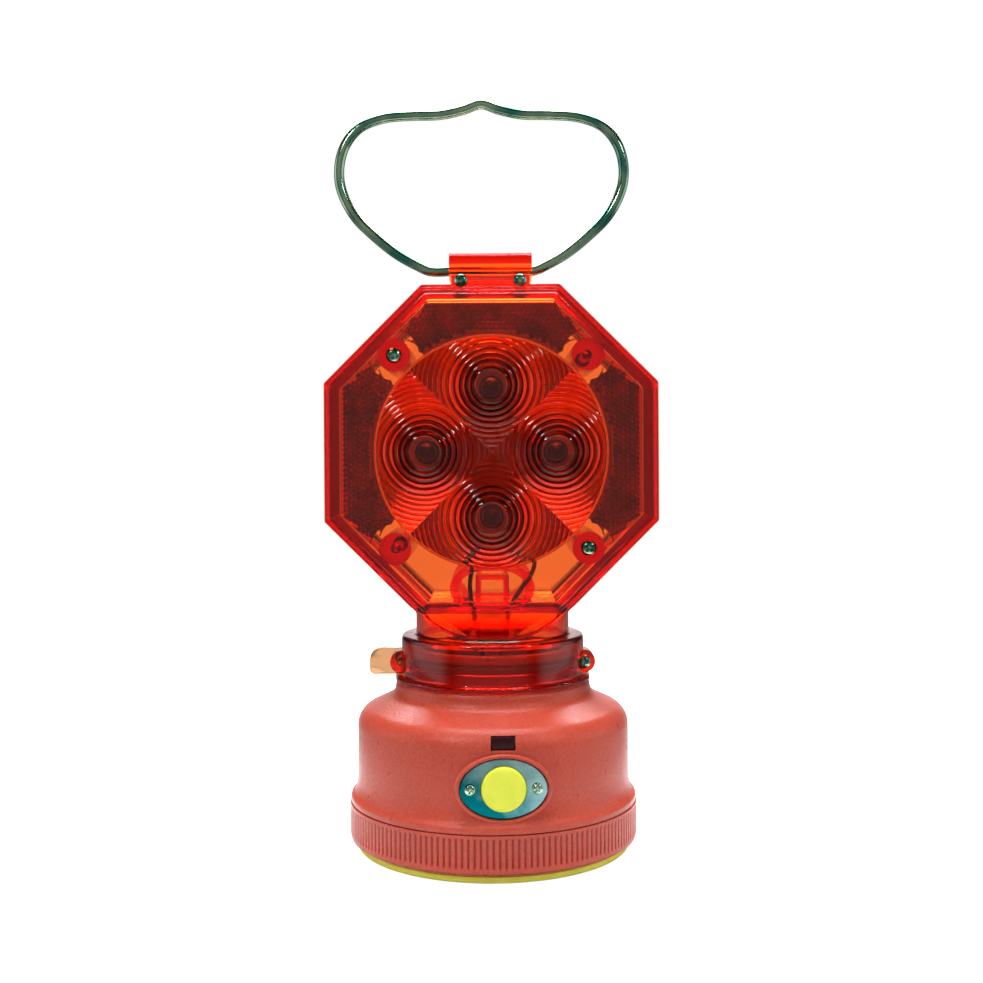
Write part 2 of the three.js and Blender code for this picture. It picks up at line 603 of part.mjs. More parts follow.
// each side of the head is the same set of pieces; the rear set is turned half a turn about Z
const shellSolid = headShell();
for (const [name, turned] of [["front", 0], ["rear", Math.PI]]) {
  const side = new THREE.Group();
  side.rotation.z = turned;
  light.add(side);
  add(`${name}_shell`, shellSolid, "clear", side);
  add(`${name}_lens`, lensDisc(), "lens", side);
  add(`${name}_reflector_top`, reflectorPanel(0), "reflector", side);
  add(`${name}_reflector_left`, reflectorPanel(-90), "reflector", side);
  add(`${name}_reflector_right`, reflectorPanel(90), "reflector", side);
  for (const [place, dx, dz] of [["top", 0, 1], ["bottom", 0, -1], ["left", -1, 0], ["right", 1, 0]]) {
    add(`${name}_led_${place}`, ledPiece(dx, dz), "black", side);
  }
  add(`corner_screw_${name}_high`, cornerScrew(-1, 1), "steel", side);
  add(`corner_screw_${name}_low`, cornerScrew(1, -1), "steel", side);
  add(`collar_screw_${name}`, collarScrew(turned ? tab.far - ear.depth + fit : fit), "steel", side);
}
add("led_board", ledBoardCross(), "board");
add("side_tab", sideTab(), "clear");
const blackRoute = [[-3.5, 108.9], [-7, 104], [-7.1, 98.3], [-7.9, 91.7], [-6.6, 81.6], [-4, 72]];
const redRoute = [[3.5, 108.9], [11, 104.5], [15.2, 99.5], [14.2, 95], [11.5, 91.2], [6.6, 83.1], [4, 72]];
add("lead_wire_black", leadWire(-1, blackRoute), "black");
add("lead_wire_red", leadWire(1, redRoute), "red");
add("bail_clip", bailClip(), "clear");
add("clip_screw_left", clipScrew(-1), "steel");
add("clip_screw_right", clipScrew(1), "steel");
add("bail", bailWire(), "steel");

export default light;
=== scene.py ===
"""Looks of a portable two-sided LED barricade light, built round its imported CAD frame.

Solids are modelled in millimetres and scaled to metres when they are placed.
"""

import json
import math

import bmesh
import bpy
from mathutils import Matrix, Vector


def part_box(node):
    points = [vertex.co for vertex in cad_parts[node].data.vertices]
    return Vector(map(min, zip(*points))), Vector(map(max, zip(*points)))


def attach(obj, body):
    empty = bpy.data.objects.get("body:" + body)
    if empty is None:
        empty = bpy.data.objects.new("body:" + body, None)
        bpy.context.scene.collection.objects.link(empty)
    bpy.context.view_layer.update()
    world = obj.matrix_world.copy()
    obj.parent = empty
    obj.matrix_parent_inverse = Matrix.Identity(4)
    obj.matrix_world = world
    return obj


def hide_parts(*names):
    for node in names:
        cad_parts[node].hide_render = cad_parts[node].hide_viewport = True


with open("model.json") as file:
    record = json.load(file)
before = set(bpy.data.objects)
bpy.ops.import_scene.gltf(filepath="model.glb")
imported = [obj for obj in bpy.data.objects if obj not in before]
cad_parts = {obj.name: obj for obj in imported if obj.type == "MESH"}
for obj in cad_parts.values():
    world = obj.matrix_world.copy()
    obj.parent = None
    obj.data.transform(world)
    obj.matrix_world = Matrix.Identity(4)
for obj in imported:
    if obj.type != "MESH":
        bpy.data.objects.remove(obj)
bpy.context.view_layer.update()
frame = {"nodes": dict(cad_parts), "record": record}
MM = 0.001

# ---------------------------------------- sizes, in millimetres
FIT = 0.3
BASE_TURN = math.radians(3.9)
PAD = dict(radius=48.2, height=2.2)
CAP = dict(radius=51.0, inner=48.6, bottom=2.5, top=16.1, floor=4.3, lip=49.2, bevel_top=3.8)
RIBS = dict(count=156, depth=0.55, bottom=5.4, top=15.2)
HOUSING = dict(wall=2.2, radius=48.2, bottom=6.4, flange=50.7, flange_bottom=16.4, flange_top=18.5,
               corner_radius=7.5, corner=(40.7, 42.6), sweep=math.radians(65), collar_seat=34.6,
               seat=57.8, neck=28.0, bead=29.4, bead_bottom=67.4, top=70.0)
POST = dict(radius=2.0, x=16.0, z=39.0, tip=38.9)
OVAL = dict(width=31.4, height=22.3, z=30.7, lip=1.2, face=49.4, plate=48.9, ledge=47.8, screws=10.9)
BUTTON = dict(radius=7.3, flange=8.5, face=50.4, stem=44.6)
WINDOW = dict(width=7.6, height=4.1, z=45.0, face=46.9)
HEAD = dict(z=139.1, half=59.3, face=54.2, depth=22.0, wall=2.0, steps=(5.8, 11.8, 17.8), split=0.15)
NECK = dict(radius=27.35, wall=2.0, front_z=76.0, slope=0.45)
COLLAR = dict(radius=32.5, inner=29.9, top=74.4, bottom=58.2, lip=34.7, lip_height=1.8, rib=28.6,
              rib_bottom=60.6, rib_top=63.4)
EAR = dict(x=32.4, z=64.5, radius=4.1, depth=4.5, blind=3.4)
BOSS = dict(offset=33.2, radius=5.6, well=3.1, seat=19.6, blind=14.0)
LENS = dict(radius=39.5, flange=40.4, rosette=14.8, offset=22.7, dome=5.4)
PANEL = dict(front=19.6, back=18.2, edge=51.8, inner=41.0, corner=8.6, notch=34.6, pitch=1.75, relief=0.9)
GUIDE = dict(z=92.4, width=29.0, height=19.0, rib=3.0, square=11.4, square_z=91.2, bore=8.0, bottom=86.0,
             near=-21.5, back=-13.5, behind=-17.6)
LED = dict(radius=2.5, height=8.6)
BOARD = dict(half=0.8, reach=29.0, width=11.0)
BAIL = dict(radius=1.85, z=203.9, shift=-3.0, straight=18.5, join=0.5)
CLIP = dict(width=29.3, half=6.3, top=211.2, bottom=199.5, slot=4.5, screw_x=10.45, screw_z=199.6, boss=3.5,
            screw_length=10.8)
LUG = dict(half=13.9, depth=4.2, bottom=196.9, top=201.7)
TAB = dict(left=-44.6, right=-28.5, bottom=58.7, top=68.4, near=4.8, far=6.4)
SCREW = dict(shaft=1.5, hole=1.8, head=2.35, height=1.7)
FACE_SCREW = dict(shaft=1.5, hole=1.8, head=2.7, height=1.9)
SMALL_SCREW = dict(shaft=0.9, hole=1.2, head=1.75, height=0.9)
NECK_SEAL = dict(inner=28.3, outer=29.6, bottom=64.3, top=66.4, edge=0.3)
CAP_SEAL = dict(inner=46.4, outer=48.0, bottom=4.6, top=6.1, edge=0.4)


# ---------------------------------------- closed solids
def mesh_object(name, bm):
    bmesh.ops.remove_doubles(bm, verts=bm.verts, dist=1e-5)
    bmesh.ops.recalc_face_normals(bm, faces=bm.faces)
    mesh = bpy.data.meshes.new(name)
    bm.to_mesh(mesh)
    bm.free()
    obj = bpy.data.objects.new(name, mesh)
    bpy.context.scene.collection.objects.link(obj)
    return obj


def loft(rings):
    """Closed solid through rings of equally many points."""
    bm = bmesh.new()
    loops = [[bm.verts.new(p) for p in ring] for ring in rings]
    n = len(loops[0])
    for a, b in zip(loops, loops[1:]):
        for i in range(n):
            j = (i + 1) % n
            bm.faces.new((a[i], a[j], b[j], b[i]))
    bm.faces.new(loops[0][::-1])
    bm.faces.new(loops[-1])
    return mesh_object("loft", bm)


def rounded(corners, steps=4, closed=False):
    """Outline with rounded corners, from (a, b) or (a, b, radius) points."""
    points = []
    count = len(corners)
    for i, corner in enumerate(corners):
        here = Vector(corner[:2])
        radius = corner[2] if len(corner) > 2 else 0
        at_end = not closed and i in (0, count - 1)
        if at_end or not radius:
            points.append(here)
            continue
        before = Vector(corners[i - 1][:2]) - here
        after = Vector(corners[(i + 1) % count][:2]) - here
        start = here + before.normalized() * min(radius, before.length * 0.48)
        end = here + after.normalized() * min(radius, after.length * 0.48)
        for k in range(steps + 1):
            t = k / steps
            points.append(start * (1 - t) ** 2 + here * 2 * t * (1 - t) + end * t * t)
    return [(p.x, p.y) for p in points]


def turned(profile, segments=128, upright=True):
    """Solid of revolution from (radius, height) points, about Z, or about Y with height along +Y."""
    bm = bmesh.new()
    ends_on_axis = profile[0][0] < 1e-6
    rows = []
    for r, h in profile:
        if r < 1e-6:
            rows.append([bm.verts.new((0, 0, h) if upright else (0, h, 0))])
            continue
        row = []
        for i in range(segments):
            a = 2 * math.pi * i / segments
            x, s = r * math.cos(a), r * math.sin(a)
            row.append(bm.verts.new((x, s, h) if upright else (x, h, s)))
        rows.append(row)
    pairs = list(zip(rows, rows[1:]))
    if not ends_on_axis:
        pairs.append((rows[-1], rows[0]))
    for a, b in pairs:
        for i in range(segments):
            j = (i + 1) % segments
            corners = [a[i % len(a)], a[j % len(a)], b[j % len(b)], b[i % len(b)]]
            unique = list(dict.fromkeys(corners))
            if len(unique) > 2:
                bm.faces.new(unique)
    return mesh_object("turned", bm)


def bar(radius, y0, y1, x=0.0, z=0.0, segments=64, edge=0.0):
    """Round bar along Y, with optional rounded edges."""
    profile = rounded([(0, y0), (radius, y0, edge), (radius, y1, edge), (0, y1)], 3)
    return moved(turned(profile, segments, upright=False), (x, 0, z))


def column(radius, z0, z1, segments=128):
    return turned([(0, z0), (radius, z0), (radius, z1), (0, z1)], segments)


def box(x, y, z, edge=0.0):
    """Box from (low, high) along each axis, with optional rounded edges."""
    bm = bmesh.new()
    bmesh.ops.create_cube(bm, size=1)
    for v in bm.verts:
        v.co = [lo + (hi - lo) * (c + 0.5) for (lo, hi), c in zip((x, y, z), v.co)]
    if edge:
        bmesh.ops.bevel(bm, geom=bm.edges[:], offset=edge, segments=3, profile=0.5, affect="EDGES")
    return mesh_object("box", bm)


def plate(outline, y0, y1, edge=0.0):
    """Outline in the X-Z plane extruded along Y, with its rims rounded."""
    bm = bmesh.new()
    near = [bm.verts.new((x, y0, z)) for x, z in outline]
    far = [bm.verts.new((x, y1, z)) for x, z in outline]
    faces = [bm.faces.new(near), bm.faces.new(far[::-1])]
    for i in range(len(outline)):
        j = (i + 1) % len(outline)
        bm.faces.new((near[i], near[j], far[j], far[i]))
    if edge:
        rims = list({e for f in faces for e in f.edges})
        bmesh.ops.bevel(bm, geom=rims, offset=edge, segments=3, profile=0.5, affect="EDGES")
    return mesh_object("plate", bm)


def moved(obj, offset=(0, 0, 0), turn=0.0, axis="Z"):
    obj.data.transform(Matrix.Translation(offset) @ Matrix.Rotation(turn, 4, axis))
    return obj


def on_base_front(obj):
    """Turns a piece drawn square to -Y onto the base's own front."""
    return moved(obj, turn=BASE_TURN)


def combined(first, add=(), cut=(), keep=()):
    """The first solid joined with some, cut by others, and kept inside the rest. The others are used up."""
    for operation, tools in (("UNION", add), ("DIFFERENCE", cut), ("INTERSECT", keep)):
        for tool in tools:
            modifier = first.modifiers.new("boolean", "BOOLEAN")
            modifier.operation = operation
            modifier.object = tool
            modifier.solver = "MANIFOLD"
    bpy.context.view_layer.update()
    mesh = bpy.data.meshes.new_from_object(first.evaluated_get(bpy.context.evaluated_depsgraph_get()))
    for used in (first, *add, *cut, *keep):
        bpy.data.objects.remove(used)
    obj = bpy.data.objects.new("combined", mesh)
    bpy.context.scene.collection.objects.link(obj)
    return obj


def copy_of(obj):
    twin = bpy.data.objects.new(obj.name + "_copy", obj.data.copy())
    bpy.context.scene.collection.objects.link(twin)
    return twin


def ellipse(width, height, y, z=0.0, count=128):
    angles = [2 * math.pi * i / count for i in range(count)]
    return [(width / 2 * math.cos(a), y, z + height / 2 * math.sin(a)) for a in angles]


def octagon(half, y, corner=0.7):
    """Octagon ring about the head's axis, half as wide as given across its flats, with eased corners."""
    circum = half / math.cos(math.pi / 8)
    points = [(circum * math.cos(a), circum * math.sin(a), corner)
              for a in (math.pi / 8 + k * math.pi / 4 for k in range(8))]
    return [(x, y, HEAD["z"] + z) for x, z in rounded(points, 3, closed=True)]


def curve_points(knots, count):
    """Points along a centripetal Catmull-Rom curve through the knots."""
    knots = [Vector(k) for k in knots]
    padded = [2 * knots[0] - knots[1], *knots, 2 * knots[-1] - knots[-2]]
    points = []
    for i in range(count + 1):
        t = i / count * (len(knots) - 1)
        k = min(int(t), len(knots) - 2)
        p0, p1, p2, p3 = padded[k:k + 4]
        gaps = [max((b - a).length, 1e-4) ** 0.5 for a, b in ((p0, p1), (p1, p2), (p2, p3))]
        out = (p1 - p0) / gaps[0] - (p2 - p0) / (gaps[0] + gaps[1]) + (p2 - p1) / gaps[1]
        into = (p2 - p1) / gaps[1] - (p3 - p1) / (gaps[1] + gaps[2]) + (p3 - p2) / gaps[2]
        m1, m2, s = out * gaps[1], into * gaps[1], t - k
        points.append(p1 * (2 * s ** 3 - 3 * s ** 2 + 1) + m1 * (s ** 3 - 2 * s ** 2 + s)
                      + p2 * (3 * s ** 2 - 2 * s ** 3) + m2 * (s ** 3 - s ** 2))
    return points


def tube(points, radius, sides):
    """Round tube along points, with eased ends. Carrying one normal along keeps its section from twisting."""
    directions = [(b - a).normalized() for a, b in zip(points, points[1:])]
    directions.append(directions[-1])
    normal = directions[0].orthogonal().normalized()
    rings = []
    last = len(points) - 1
    for i, (point, direction) in enumerate(zip(points, directions)):
        ahead = directions[max(i - 1, 0)] + direction
        ahead.normalize()
        normal = (normal - ahead * normal.dot(ahead)).normalized()
        across = ahead.cross(normal)
        eased = [(0, 1.0)]
        if i == 0:
            eased = [(-2, 0.75), (-1, 0.93), (0, 1.0)]
        if i == last:
            eased = [(0, 1.0), (1, 0.93), (2, 0.75)]
        for step, share in eased:
            shift, size = step * radius * 0.12, radius * share
            ring = []
            for side in range(sides):
                a = 2 * math.pi * side / sides
                ring.append(point + ahead * shift + (normal * math.cos(a) + across * math.sin(a)) * size)
            rings.append(ring)
    return loft(rings)


def put(obj, body, node, slot, smooth=35.0, look=None):
    """Scales a finished solid to metres, and makes it stand for its CAD node on its body."""
    mesh = obj.data
    mesh.transform(Matrix.Scale(MM, 4))
    obj.name = node + "_fine"
    mesh.name = obj.name
    mesh.polygons.foreach_set("use_smooth", [True] * len(mesh.polygons))
    mesh.set_sharp_from_angle(angle=math.radians(smooth))
    mesh.materials.clear()
    mesh.materials.append(look or LOOKS[slot])
    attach(obj, body)
    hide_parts(node)


# ---------------------------------------- materials
class Nodes:
    """Writes a node tree. A value is linked where it is another node's socket, and set where it is plain."""

    def __init__(self, tree):
        self.tree = tree

    def node(self, kind, **inputs):
        made = self.tree.nodes.new(kind)
        for name, value in inputs.items():
            self.put(made.inputs[name.replace("_", " ").title()], value)
        return made

    def put(self, socket, value):
        if isinstance(value, bpy.types.NodeSocket):
            self.tree.links.new(value, socket)
        else:
            socket.default_value = value

    def worked(self, operation, *values):
        made = self.node("ShaderNodeMath")
        made.operation = operation
        for socket, value in zip(made.inputs, values):
            self.put(socket, value)
        return made.outputs[0]

    def spread(self, value, low, high, start=0.3, end=0.7, interpolation="LINEAR"):
        """Low to high while the value goes from start to end."""
        made = self.node("ShaderNodeMapRange", Value=value, From_Min=start, From_Max=end, To_Min=low,
                         To_Max=high)
        made.interpolation_type = interpolation
        return made.outputs["Result"]


class Look(Nodes):
    """One procedural material. Positions are in metres in the part's own frame."""

    def __init__(self, name, color, roughness, **settings):
        self.material = bpy.data.materials.new(name)
        self.material.use_nodes = True
        super().__init__(self.material.node_tree)
        self.shader = self.tree.nodes["Principled BSDF"]
        self.set("Base Color", (*color, 1))
        self.set("Roughness", roughness)
        for socket, value in settings.items():
            self.set(socket.replace("_", " ").title().replace("Ior", "IOR"), value)
        self.where = self.node("ShaderNodeTexCoord").outputs["Object"]
        self.normal = None

    def set(self, name, value):
        self.put(self.shader.inputs[name], value)

    def stretched(self, scale):
        mapping = self.node("ShaderNodeMapping", Vector=self.where)
        mapping.inputs["Scale"].default_value = scale
        return mapping.outputs["Vector"]

    def noise(self, scale, detail=3.0, roughness=0.55, where=None):
        made = self.node("ShaderNodeTexNoise", Vector=where or self.where, Scale=scale, Detail=detail,
                         Roughness=roughness)
        return made.outputs["Fac"]

    def cells(self, scale):
        return self.node("ShaderNodeTexVoronoi", Vector=self.where, Scale=scale).outputs["Distance"]

    def axis(self, letter, vector=None):
        """One coordinate of a vector, or of the position."""
        return self.node("ShaderNodeSeparateXYZ", Vector=vector or self.where).outputs[letter]

    def mixed(self, factor, first, second):
        made = self.tree.nodes.new("ShaderNodeMix")
        made.data_type = "RGBA"
        self.put(made.inputs["Factor"], factor)
        colors = [s for s in made.inputs if s.type == "RGBA"]
        for socket, color in zip(colors, (first, second)):
            self.put(socket, color if isinstance(color, bpy.types.NodeSocket) else (*color, 1))
        return next(s for s in made.outputs if s.type == "RGBA")

    def bump(self, height, distance, strength=1.0):
        made = self.node("ShaderNodeBump", Height=height, Distance=distance, Strength=strength)
        if self.normal is not None:
            self.put(made.inputs["Normal"], self.normal)
        self.normal = made.outputs["Normal"]
        self.set("Normal", self.normal)

    def absorbing(self, taken):
        """Depth tint: taken is how much of red, green and blue each metre takes off."""
        density = max(taken) * 1.02
        volume = self.tree.nodes.new("ShaderNodeVolumeAbsorption")
        volume.inputs["Color"].default_value = (*[1 - t / density for t in taken], 1)
        volume.inputs["Density"].default_value = density
        self.put(self.tree.nodes["Material Output"].inputs["Volume"], volume.outputs["Volume"])


def moulded_plastic(name, grooves=None):
    """Opaque moulded plastic with a fine spark texture and faint flow clouds.

    Grooves gives the radii, in metres, between which painted shade darkens a knurl's hollows towards the
    axis.
    """
    look = Look(name, (0.60, 0.085, 0.045), 0.34, ior=1.5, sheen_weight=0.4, sheen_roughness=0.22)
    fine = look.spread(look.noise(1100, 2), 0, 0.25, 0.35, 0.65)
    tone = look.mixed(look.spread(look.noise(38, 2), 0, 1), (0.55, 0.060, 0.031), (0.47, 0.050, 0.027))
    color = look.mixed(fine, tone, (0.72, 0.15, 0.085))
    if grooves:
        flat = look.node("ShaderNodeCombineXYZ", X=look.axis("X"), Y=look.axis("Y"))
        radius = look.node("ShaderNodeVectorMath", Vector=flat.outputs["Vector"])
        radius.operation = "LENGTH"
        # painted shade: the grooves' hollows turn darker towards the axis, where shade falls between the ribs
        hollow = look.spread(radius.outputs["Value"], 1, 0, *grooves)
        color = look.mixed(hollow, color, (0.36, 0.022, 0.012))
    look.set("Base Color", color)
    look.set("Roughness", look.spread(look.noise(220, 3), 0.27, 0.40))
    look.bump(look.noise(1300, 2), 0.00016, 0.75)
    look.bump(look.noise(60, 2), 0.0004, 0.12)
    return look.material


def foam_rubber():
    look = Look("pad_foam", (0.72, 0.66, 0.08), 0.75)
    tone = look.spread(look.noise(120, 4), 0, 1)
    look.set("Base Color", look.mixed(tone, (1.0, 0.96, 0.11), (0.90, 0.86, 0.10)))
    look.set("Roughness", look.spread(look.noise(300), 0.66, 0.85))
    look.bump(look.cells(1500), 0.0001, 0.5)
    return look.material


def button_rubber():
    look = Look("button_silicone", (0.74, 0.80, 0.07), 0.55)
    tone = look.spread(look.noise(260, 3), 0, 1)
    look.set("Base Color", look.mixed(tone, (0.88, 0.95, 0.075), (0.80, 0.88, 0.065)))
    look.set("Roughness", look.spread(look.noise(500), 0.48, 0.62))
    look.bump(look.noise(2200, 2), 0.00006, 0.5)
    return look.material


def tinted_steel(name, colors, roughness, scale=45, brushed=(1, 1, 1)):
    """Bright plated steel whose thin film drifts between colours."""
    look = Look(name, colors[0], roughness[0], metallic=1.0)
    drift = look.spread(look.noise(scale, 2), 0, 1, 0.38, 0.62)
    look.set("Base Color", look.mixed(drift, colors[0], colors[1]))
    grain = look.noise(420, 4, where=look.stretched(brushed))
    look.set("Roughness", look.spread(grain, *roughness))
    look.bump(grain, 0.00003, 0.25)
    return look.material


def oval_steel():
    """Mirror plate with a blue-green film, and a painted reflection that pales it towards its upper right
    corner.
    """
    look = Look("plate_film_painted_reflection", (0.3, 0.6, 0.6), 0.14, metallic=1.0)
    low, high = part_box("switch_plate")
    # painted reflection: the film pales towards the upper right as if a lamp were mirrored there, and stays
    # dark teal at the lower left
    across = look.spread(look.axis("X"), 0, 0.6, low.x, high.x)
    upwards = look.spread(look.axis("Z"), 0, 0.6, low.z, high.z)
    wander = look.spread(look.noise(160, 2), -0.14, 0.14)
    painted_reflection = look.worked("ADD", look.worked("ADD", across, upwards), wander)
    film = look.mixed(look.spread(painted_reflection, 0, 1, 0.35, 1.1), (0.0, 0.17, 0.20), (0.56, 0.90, 0.87))
    look.set("Base Color", film)
    streaks = look.noise(300, 3, where=look.stretched((0.25, 1, 3)))
    look.set("Roughness", look.spread(streaks, 0.1, 0.22))
    look.bump(streaks, 0.00002, 0.3)
    return look.material


def plain_plastic(name, color, other, roughness, **settings):
    look = Look(name, color, roughness, **settings)
    look.set("Base Color", look.mixed(look.spread(look.noise(140, 3), 0, 1), color, other))
    look.set("Roughness", look.spread(look.noise(300, 2), roughness * 0.85, roughness * 1.2))
    look.bump(look.noise(900, 2), 0.00004, 0.5)
    return look.material


def prism_plastic():
    """Dark red prisms over a plainer sealed back, which faces into the head."""
    look = Look("prism_red", (0.16, 0.004, 0.008), 0.14, metallic=0.55)
    facing = look.axis("Y", look.node("ShaderNodeTexCoord").outputs["Normal"])
    outwards = look.worked("MULTIPLY", facing, look.axis("Y"))
    sealed = look.spread(outwards, 1, 0, -0.002, 0.002)
    prisms = look.mixed(look.spread(look.noise(140, 3), 0, 1), (0.16, 0.004, 0.008), (0.40, 0.02, 0.03))
    look.set("Base Color", look.mixed(sealed, prisms, (0.30, 0.03, 0.015)))
    look.set("Metallic", look.spread(sealed, 0.55, 0.0, 0, 1))
    look.set("Roughness", look.spread(look.noise(300, 2), 0.12, 0.17))
    look.bump(look.noise(900, 2), 0.00004, 0.5)
    return look.material


def clear_plastic(name, tint, side_shade_tint, taken, turn=(0.35, 0.75), roughness=0.03, sides=None):
    """Transparent moulding, which loses colour along the light's way through.

    Surfaces turned away from the front and back get a deeper painted tint, a painted shade that stands in for
    the
    longer way light takes through them: turn is the range of facing between the side shade tint and the plain
    one, and sides is their roughness. Level surfaces above and below the octagon get a paler painted
    highlight, which stands in for the overhead lamp's reflection.
    """
    look = Look(name, tint, roughness, transmission_weight=1.0, ior=1.49)
    normal = look.node("ShaderNodeTexCoord").outputs["Normal"]
    uneven = look.worked("ADD", look.worked("ABSOLUTE", look.axis("Y", normal)),
                         look.spread(look.noise(90, 2), -0.05, 0.05))
    # painted shade: surfaces turned from the front and back take the deeper side tint
    color = look.mixed(look.spread(uneven, 0, 1, *turn), side_shade_tint, tint)
    # painted highlight: level surfaces above and below the octagon turn paler, for the overhead lamp's
    # reflection
    off_centre = look.worked("ABSOLUTE", look.worked("SUBTRACT", look.axis("Z"), HEAD["z"] * MM))
    outside = look.spread(off_centre, 0, 1, (HEAD["half"] - 0.2) * MM, (HEAD["half"] + 0.2) * MM)
    level_highlight = look.spread(look.worked("ABSOLUTE", look.axis("Z", normal)), 0, 1, 0.72, 0.86)
    look.set("Base Color", look.mixed(look.worked("MULTIPLY", outside, level_highlight), color, (1.0, 0.72, 0.66)))
    if sides:
        look.set("Roughness", look.spread(uneven, sides, roughness, *turn))
    look.bump(look.noise(55, 2), 0.00024, 0.25)
    look.bump(look.noise(900, 2), 0.00006, 0.12)
    look.absorbing(taken)
    return look.material


def circuit_board():
    look = Look("board_mask", (0.45, 0.45, 0.42), 0.35)
    tracks = look.cells(190)
    mask = look.spread(tracks, 0, 1, 0.42, 0.48)
    look.set("Base Color", look.mixed(mask, (0.50, 0.49, 0.46), (0.34, 0.34, 0.31)))
    look.set("Roughness", look.spread(look.noise(400), 0.28, 0.42))
    look.bump(tracks, 0.00004, 0.4)
    return look.material


LOOKS = {
    "body_plastic": moulded_plastic("moulded_orange"),
    "pad_yellow": foam_rubber(),
    "button_yellow": button_rubber(),
    "plate_steel": oval_steel(),
    "screw_steel": tinted_steel("screw_zinc", ((0.05, 0.28, 0.19), (0.60, 0.78, 0.62)), (0.10, 0.24), 300),
    "bail_steel": tinted_steel("bail_zinc", ((0.06, 0.26, 0.19), (0.42, 0.62, 0.40)), (0.10, 0.22), 60),
    "dark_window": plain_plastic("smoked_window", (0.022, 0.002, 0.003), (0.035, 0.003, 0.004), 0.25,
                                 specular_ior_level=0.25),
    "black_plastic": plain_plastic("black_moulding", (0.022, 0.022, 0.022), (0.04, 0.04, 0.038), 0.5),
    "circuit_board": circuit_board(),
    "cell_wrap": plain_plastic("cell_sleeve", (0.05, 0.10, 0.26), (0.06, 0.13, 0.30), 0.3),
    "contact_steel": tinted_steel("contact_nickel", ((0.62, 0.60, 0.56), (0.72, 0.71, 0.68)), (0.25, 0.4),
                                  200, (1, 6, 1)),
    "seal_rubber": plain_plastic("seal_silicone", (0.30, 0.03, 0.018), (0.24, 0.022, 0.014), 0.55),
    "head_clear": clear_plastic("head_moulding", (1.0, 0.84, 0.65), (1.0, 0.56, 0.46), (12, 400, 780),
                                sides=0.14),
    "lens_clear": clear_plastic("lens_moulding", (1.0, 0.52, 0.28), (0.95, 0.15, 0.08), (30, 300, 560),
                                (0.86, 0.97), 0.02),
    "tab_clear": clear_plastic("tab_moulding", (1.0, 0.64, 0.40), (1.0, 0.50, 0.27), (4, 140, 320),
                               roughness=0.05),
    "reflector_red": prism_plastic(),
    "led_body": plain_plastic("led_dark", (0.006, 0.007, 0.006), (0.012, 0.014, 0.012), 0.22),
    "wire_black": plain_plastic("lead_black", (0.012, 0.010, 0.010), (0.02, 0.018, 0.018), 0.45),
    "wire_red": plain_plastic("lead_red", (0.22, 0.012, 0.010), (0.16, 0.01, 0.008), 0.45),
}


# ---------------------------------------- base
def foot_pad():
    r, h = PAD["radius"], PAD["height"]
    profile = rounded([(0, 0), (r - 0.3, 0, 0.7), (r, 0.5, 0.4), (r, h, 0.3), (r - 0.6, h), (0, h)], 4)
    put(turned(profile, 192), "battery_cap", "foot_pad", "pad_yellow")


def battery_cap():
    """Knurled screw cap: evenly spaced round grooves between flat ribs."""
    c, radius = CAP, CAP["radius"]
    low, high = RIBS["bottom"], RIBS["top"]
    profile = rounded([
        (0, c["bottom"]), (c["lip"] - 1.2, c["bottom"], 0.3), (c["lip"], c["bottom"] + 0.2, 0.3),
        (radius, c["bevel_top"], 0.8), (radius, low), (radius, low + 0.45), (radius, high - 0.45),
        (radius, high), (radius, c["top"], 0.35), (c["inner"], c["top"], 0.3), (c["inner"], c["floor"]),
        (0, c["floor"])], 3)
    per_rib = 8
    obj = turned(profile, RIBS["count"] * per_rib)
    for v in obj.data.vertices:
        r = math.hypot(v.co.x, v.co.y)
        if r < radius - 0.4 or not low + 0.2 < v.co.z < high - 0.2:
            continue
        turn = math.atan2(v.co.y, v.co.x) / (2 * math.pi) * RIBS["count"]
        groove = max(0.0, math.cos(2 * math.pi * turn)) ** 0.7
        v.co.xy *= 1 - RIBS["depth"] * groove / r
    # the ribbed look paints shade into the grooves' hollows
    grooves = [(radius - RIBS["depth"] * k) * MM for k in (0.8, 0.1)]
    ribbed = moulded_plastic("moulded_orange_groove_shade", grooves)
    put(obj, "battery_cap", "battery_cap", "body_plastic", 50, ribbed)


def housing_skin(offset):
    """Outer skin of the base from the skirt up to the collar seat, moved inwards by offset."""
    h, arc_steps, bend_steps = HOUSING, 14, 18
    cr, cz = h["corner"]
    radius = h["corner_radius"] - offset
    points = []
    for i in range(arc_steps + 1):
        a = h["sweep"] * i / arc_steps
        points.append((cr + radius * math.cos(a), cz + radius * math.sin(a)))
    run = 5.2 - offset * 0.2
    last = Vector(points[-1])
    foot = last + Vector((-run, run / math.tan(h["sweep"])))
    ctrl1 = foot + Vector((-2.4, 1.1))
    ctrl2 = Vector((h["collar_seat"] - offset, foot.y + 1.6))
    end = Vector((h["collar_seat"] - offset, h["seat"] - offset))
    for i in range(bend_steps + 1):
        t = i / bend_steps
        p = (foot * (1 - t) ** 3 + ctrl1 * 3 * t * (1 - t) ** 2 + ctrl2 * 3 * t * t * (1 - t) + end * t ** 3)
        points.append((p.x, p.y))
    return points


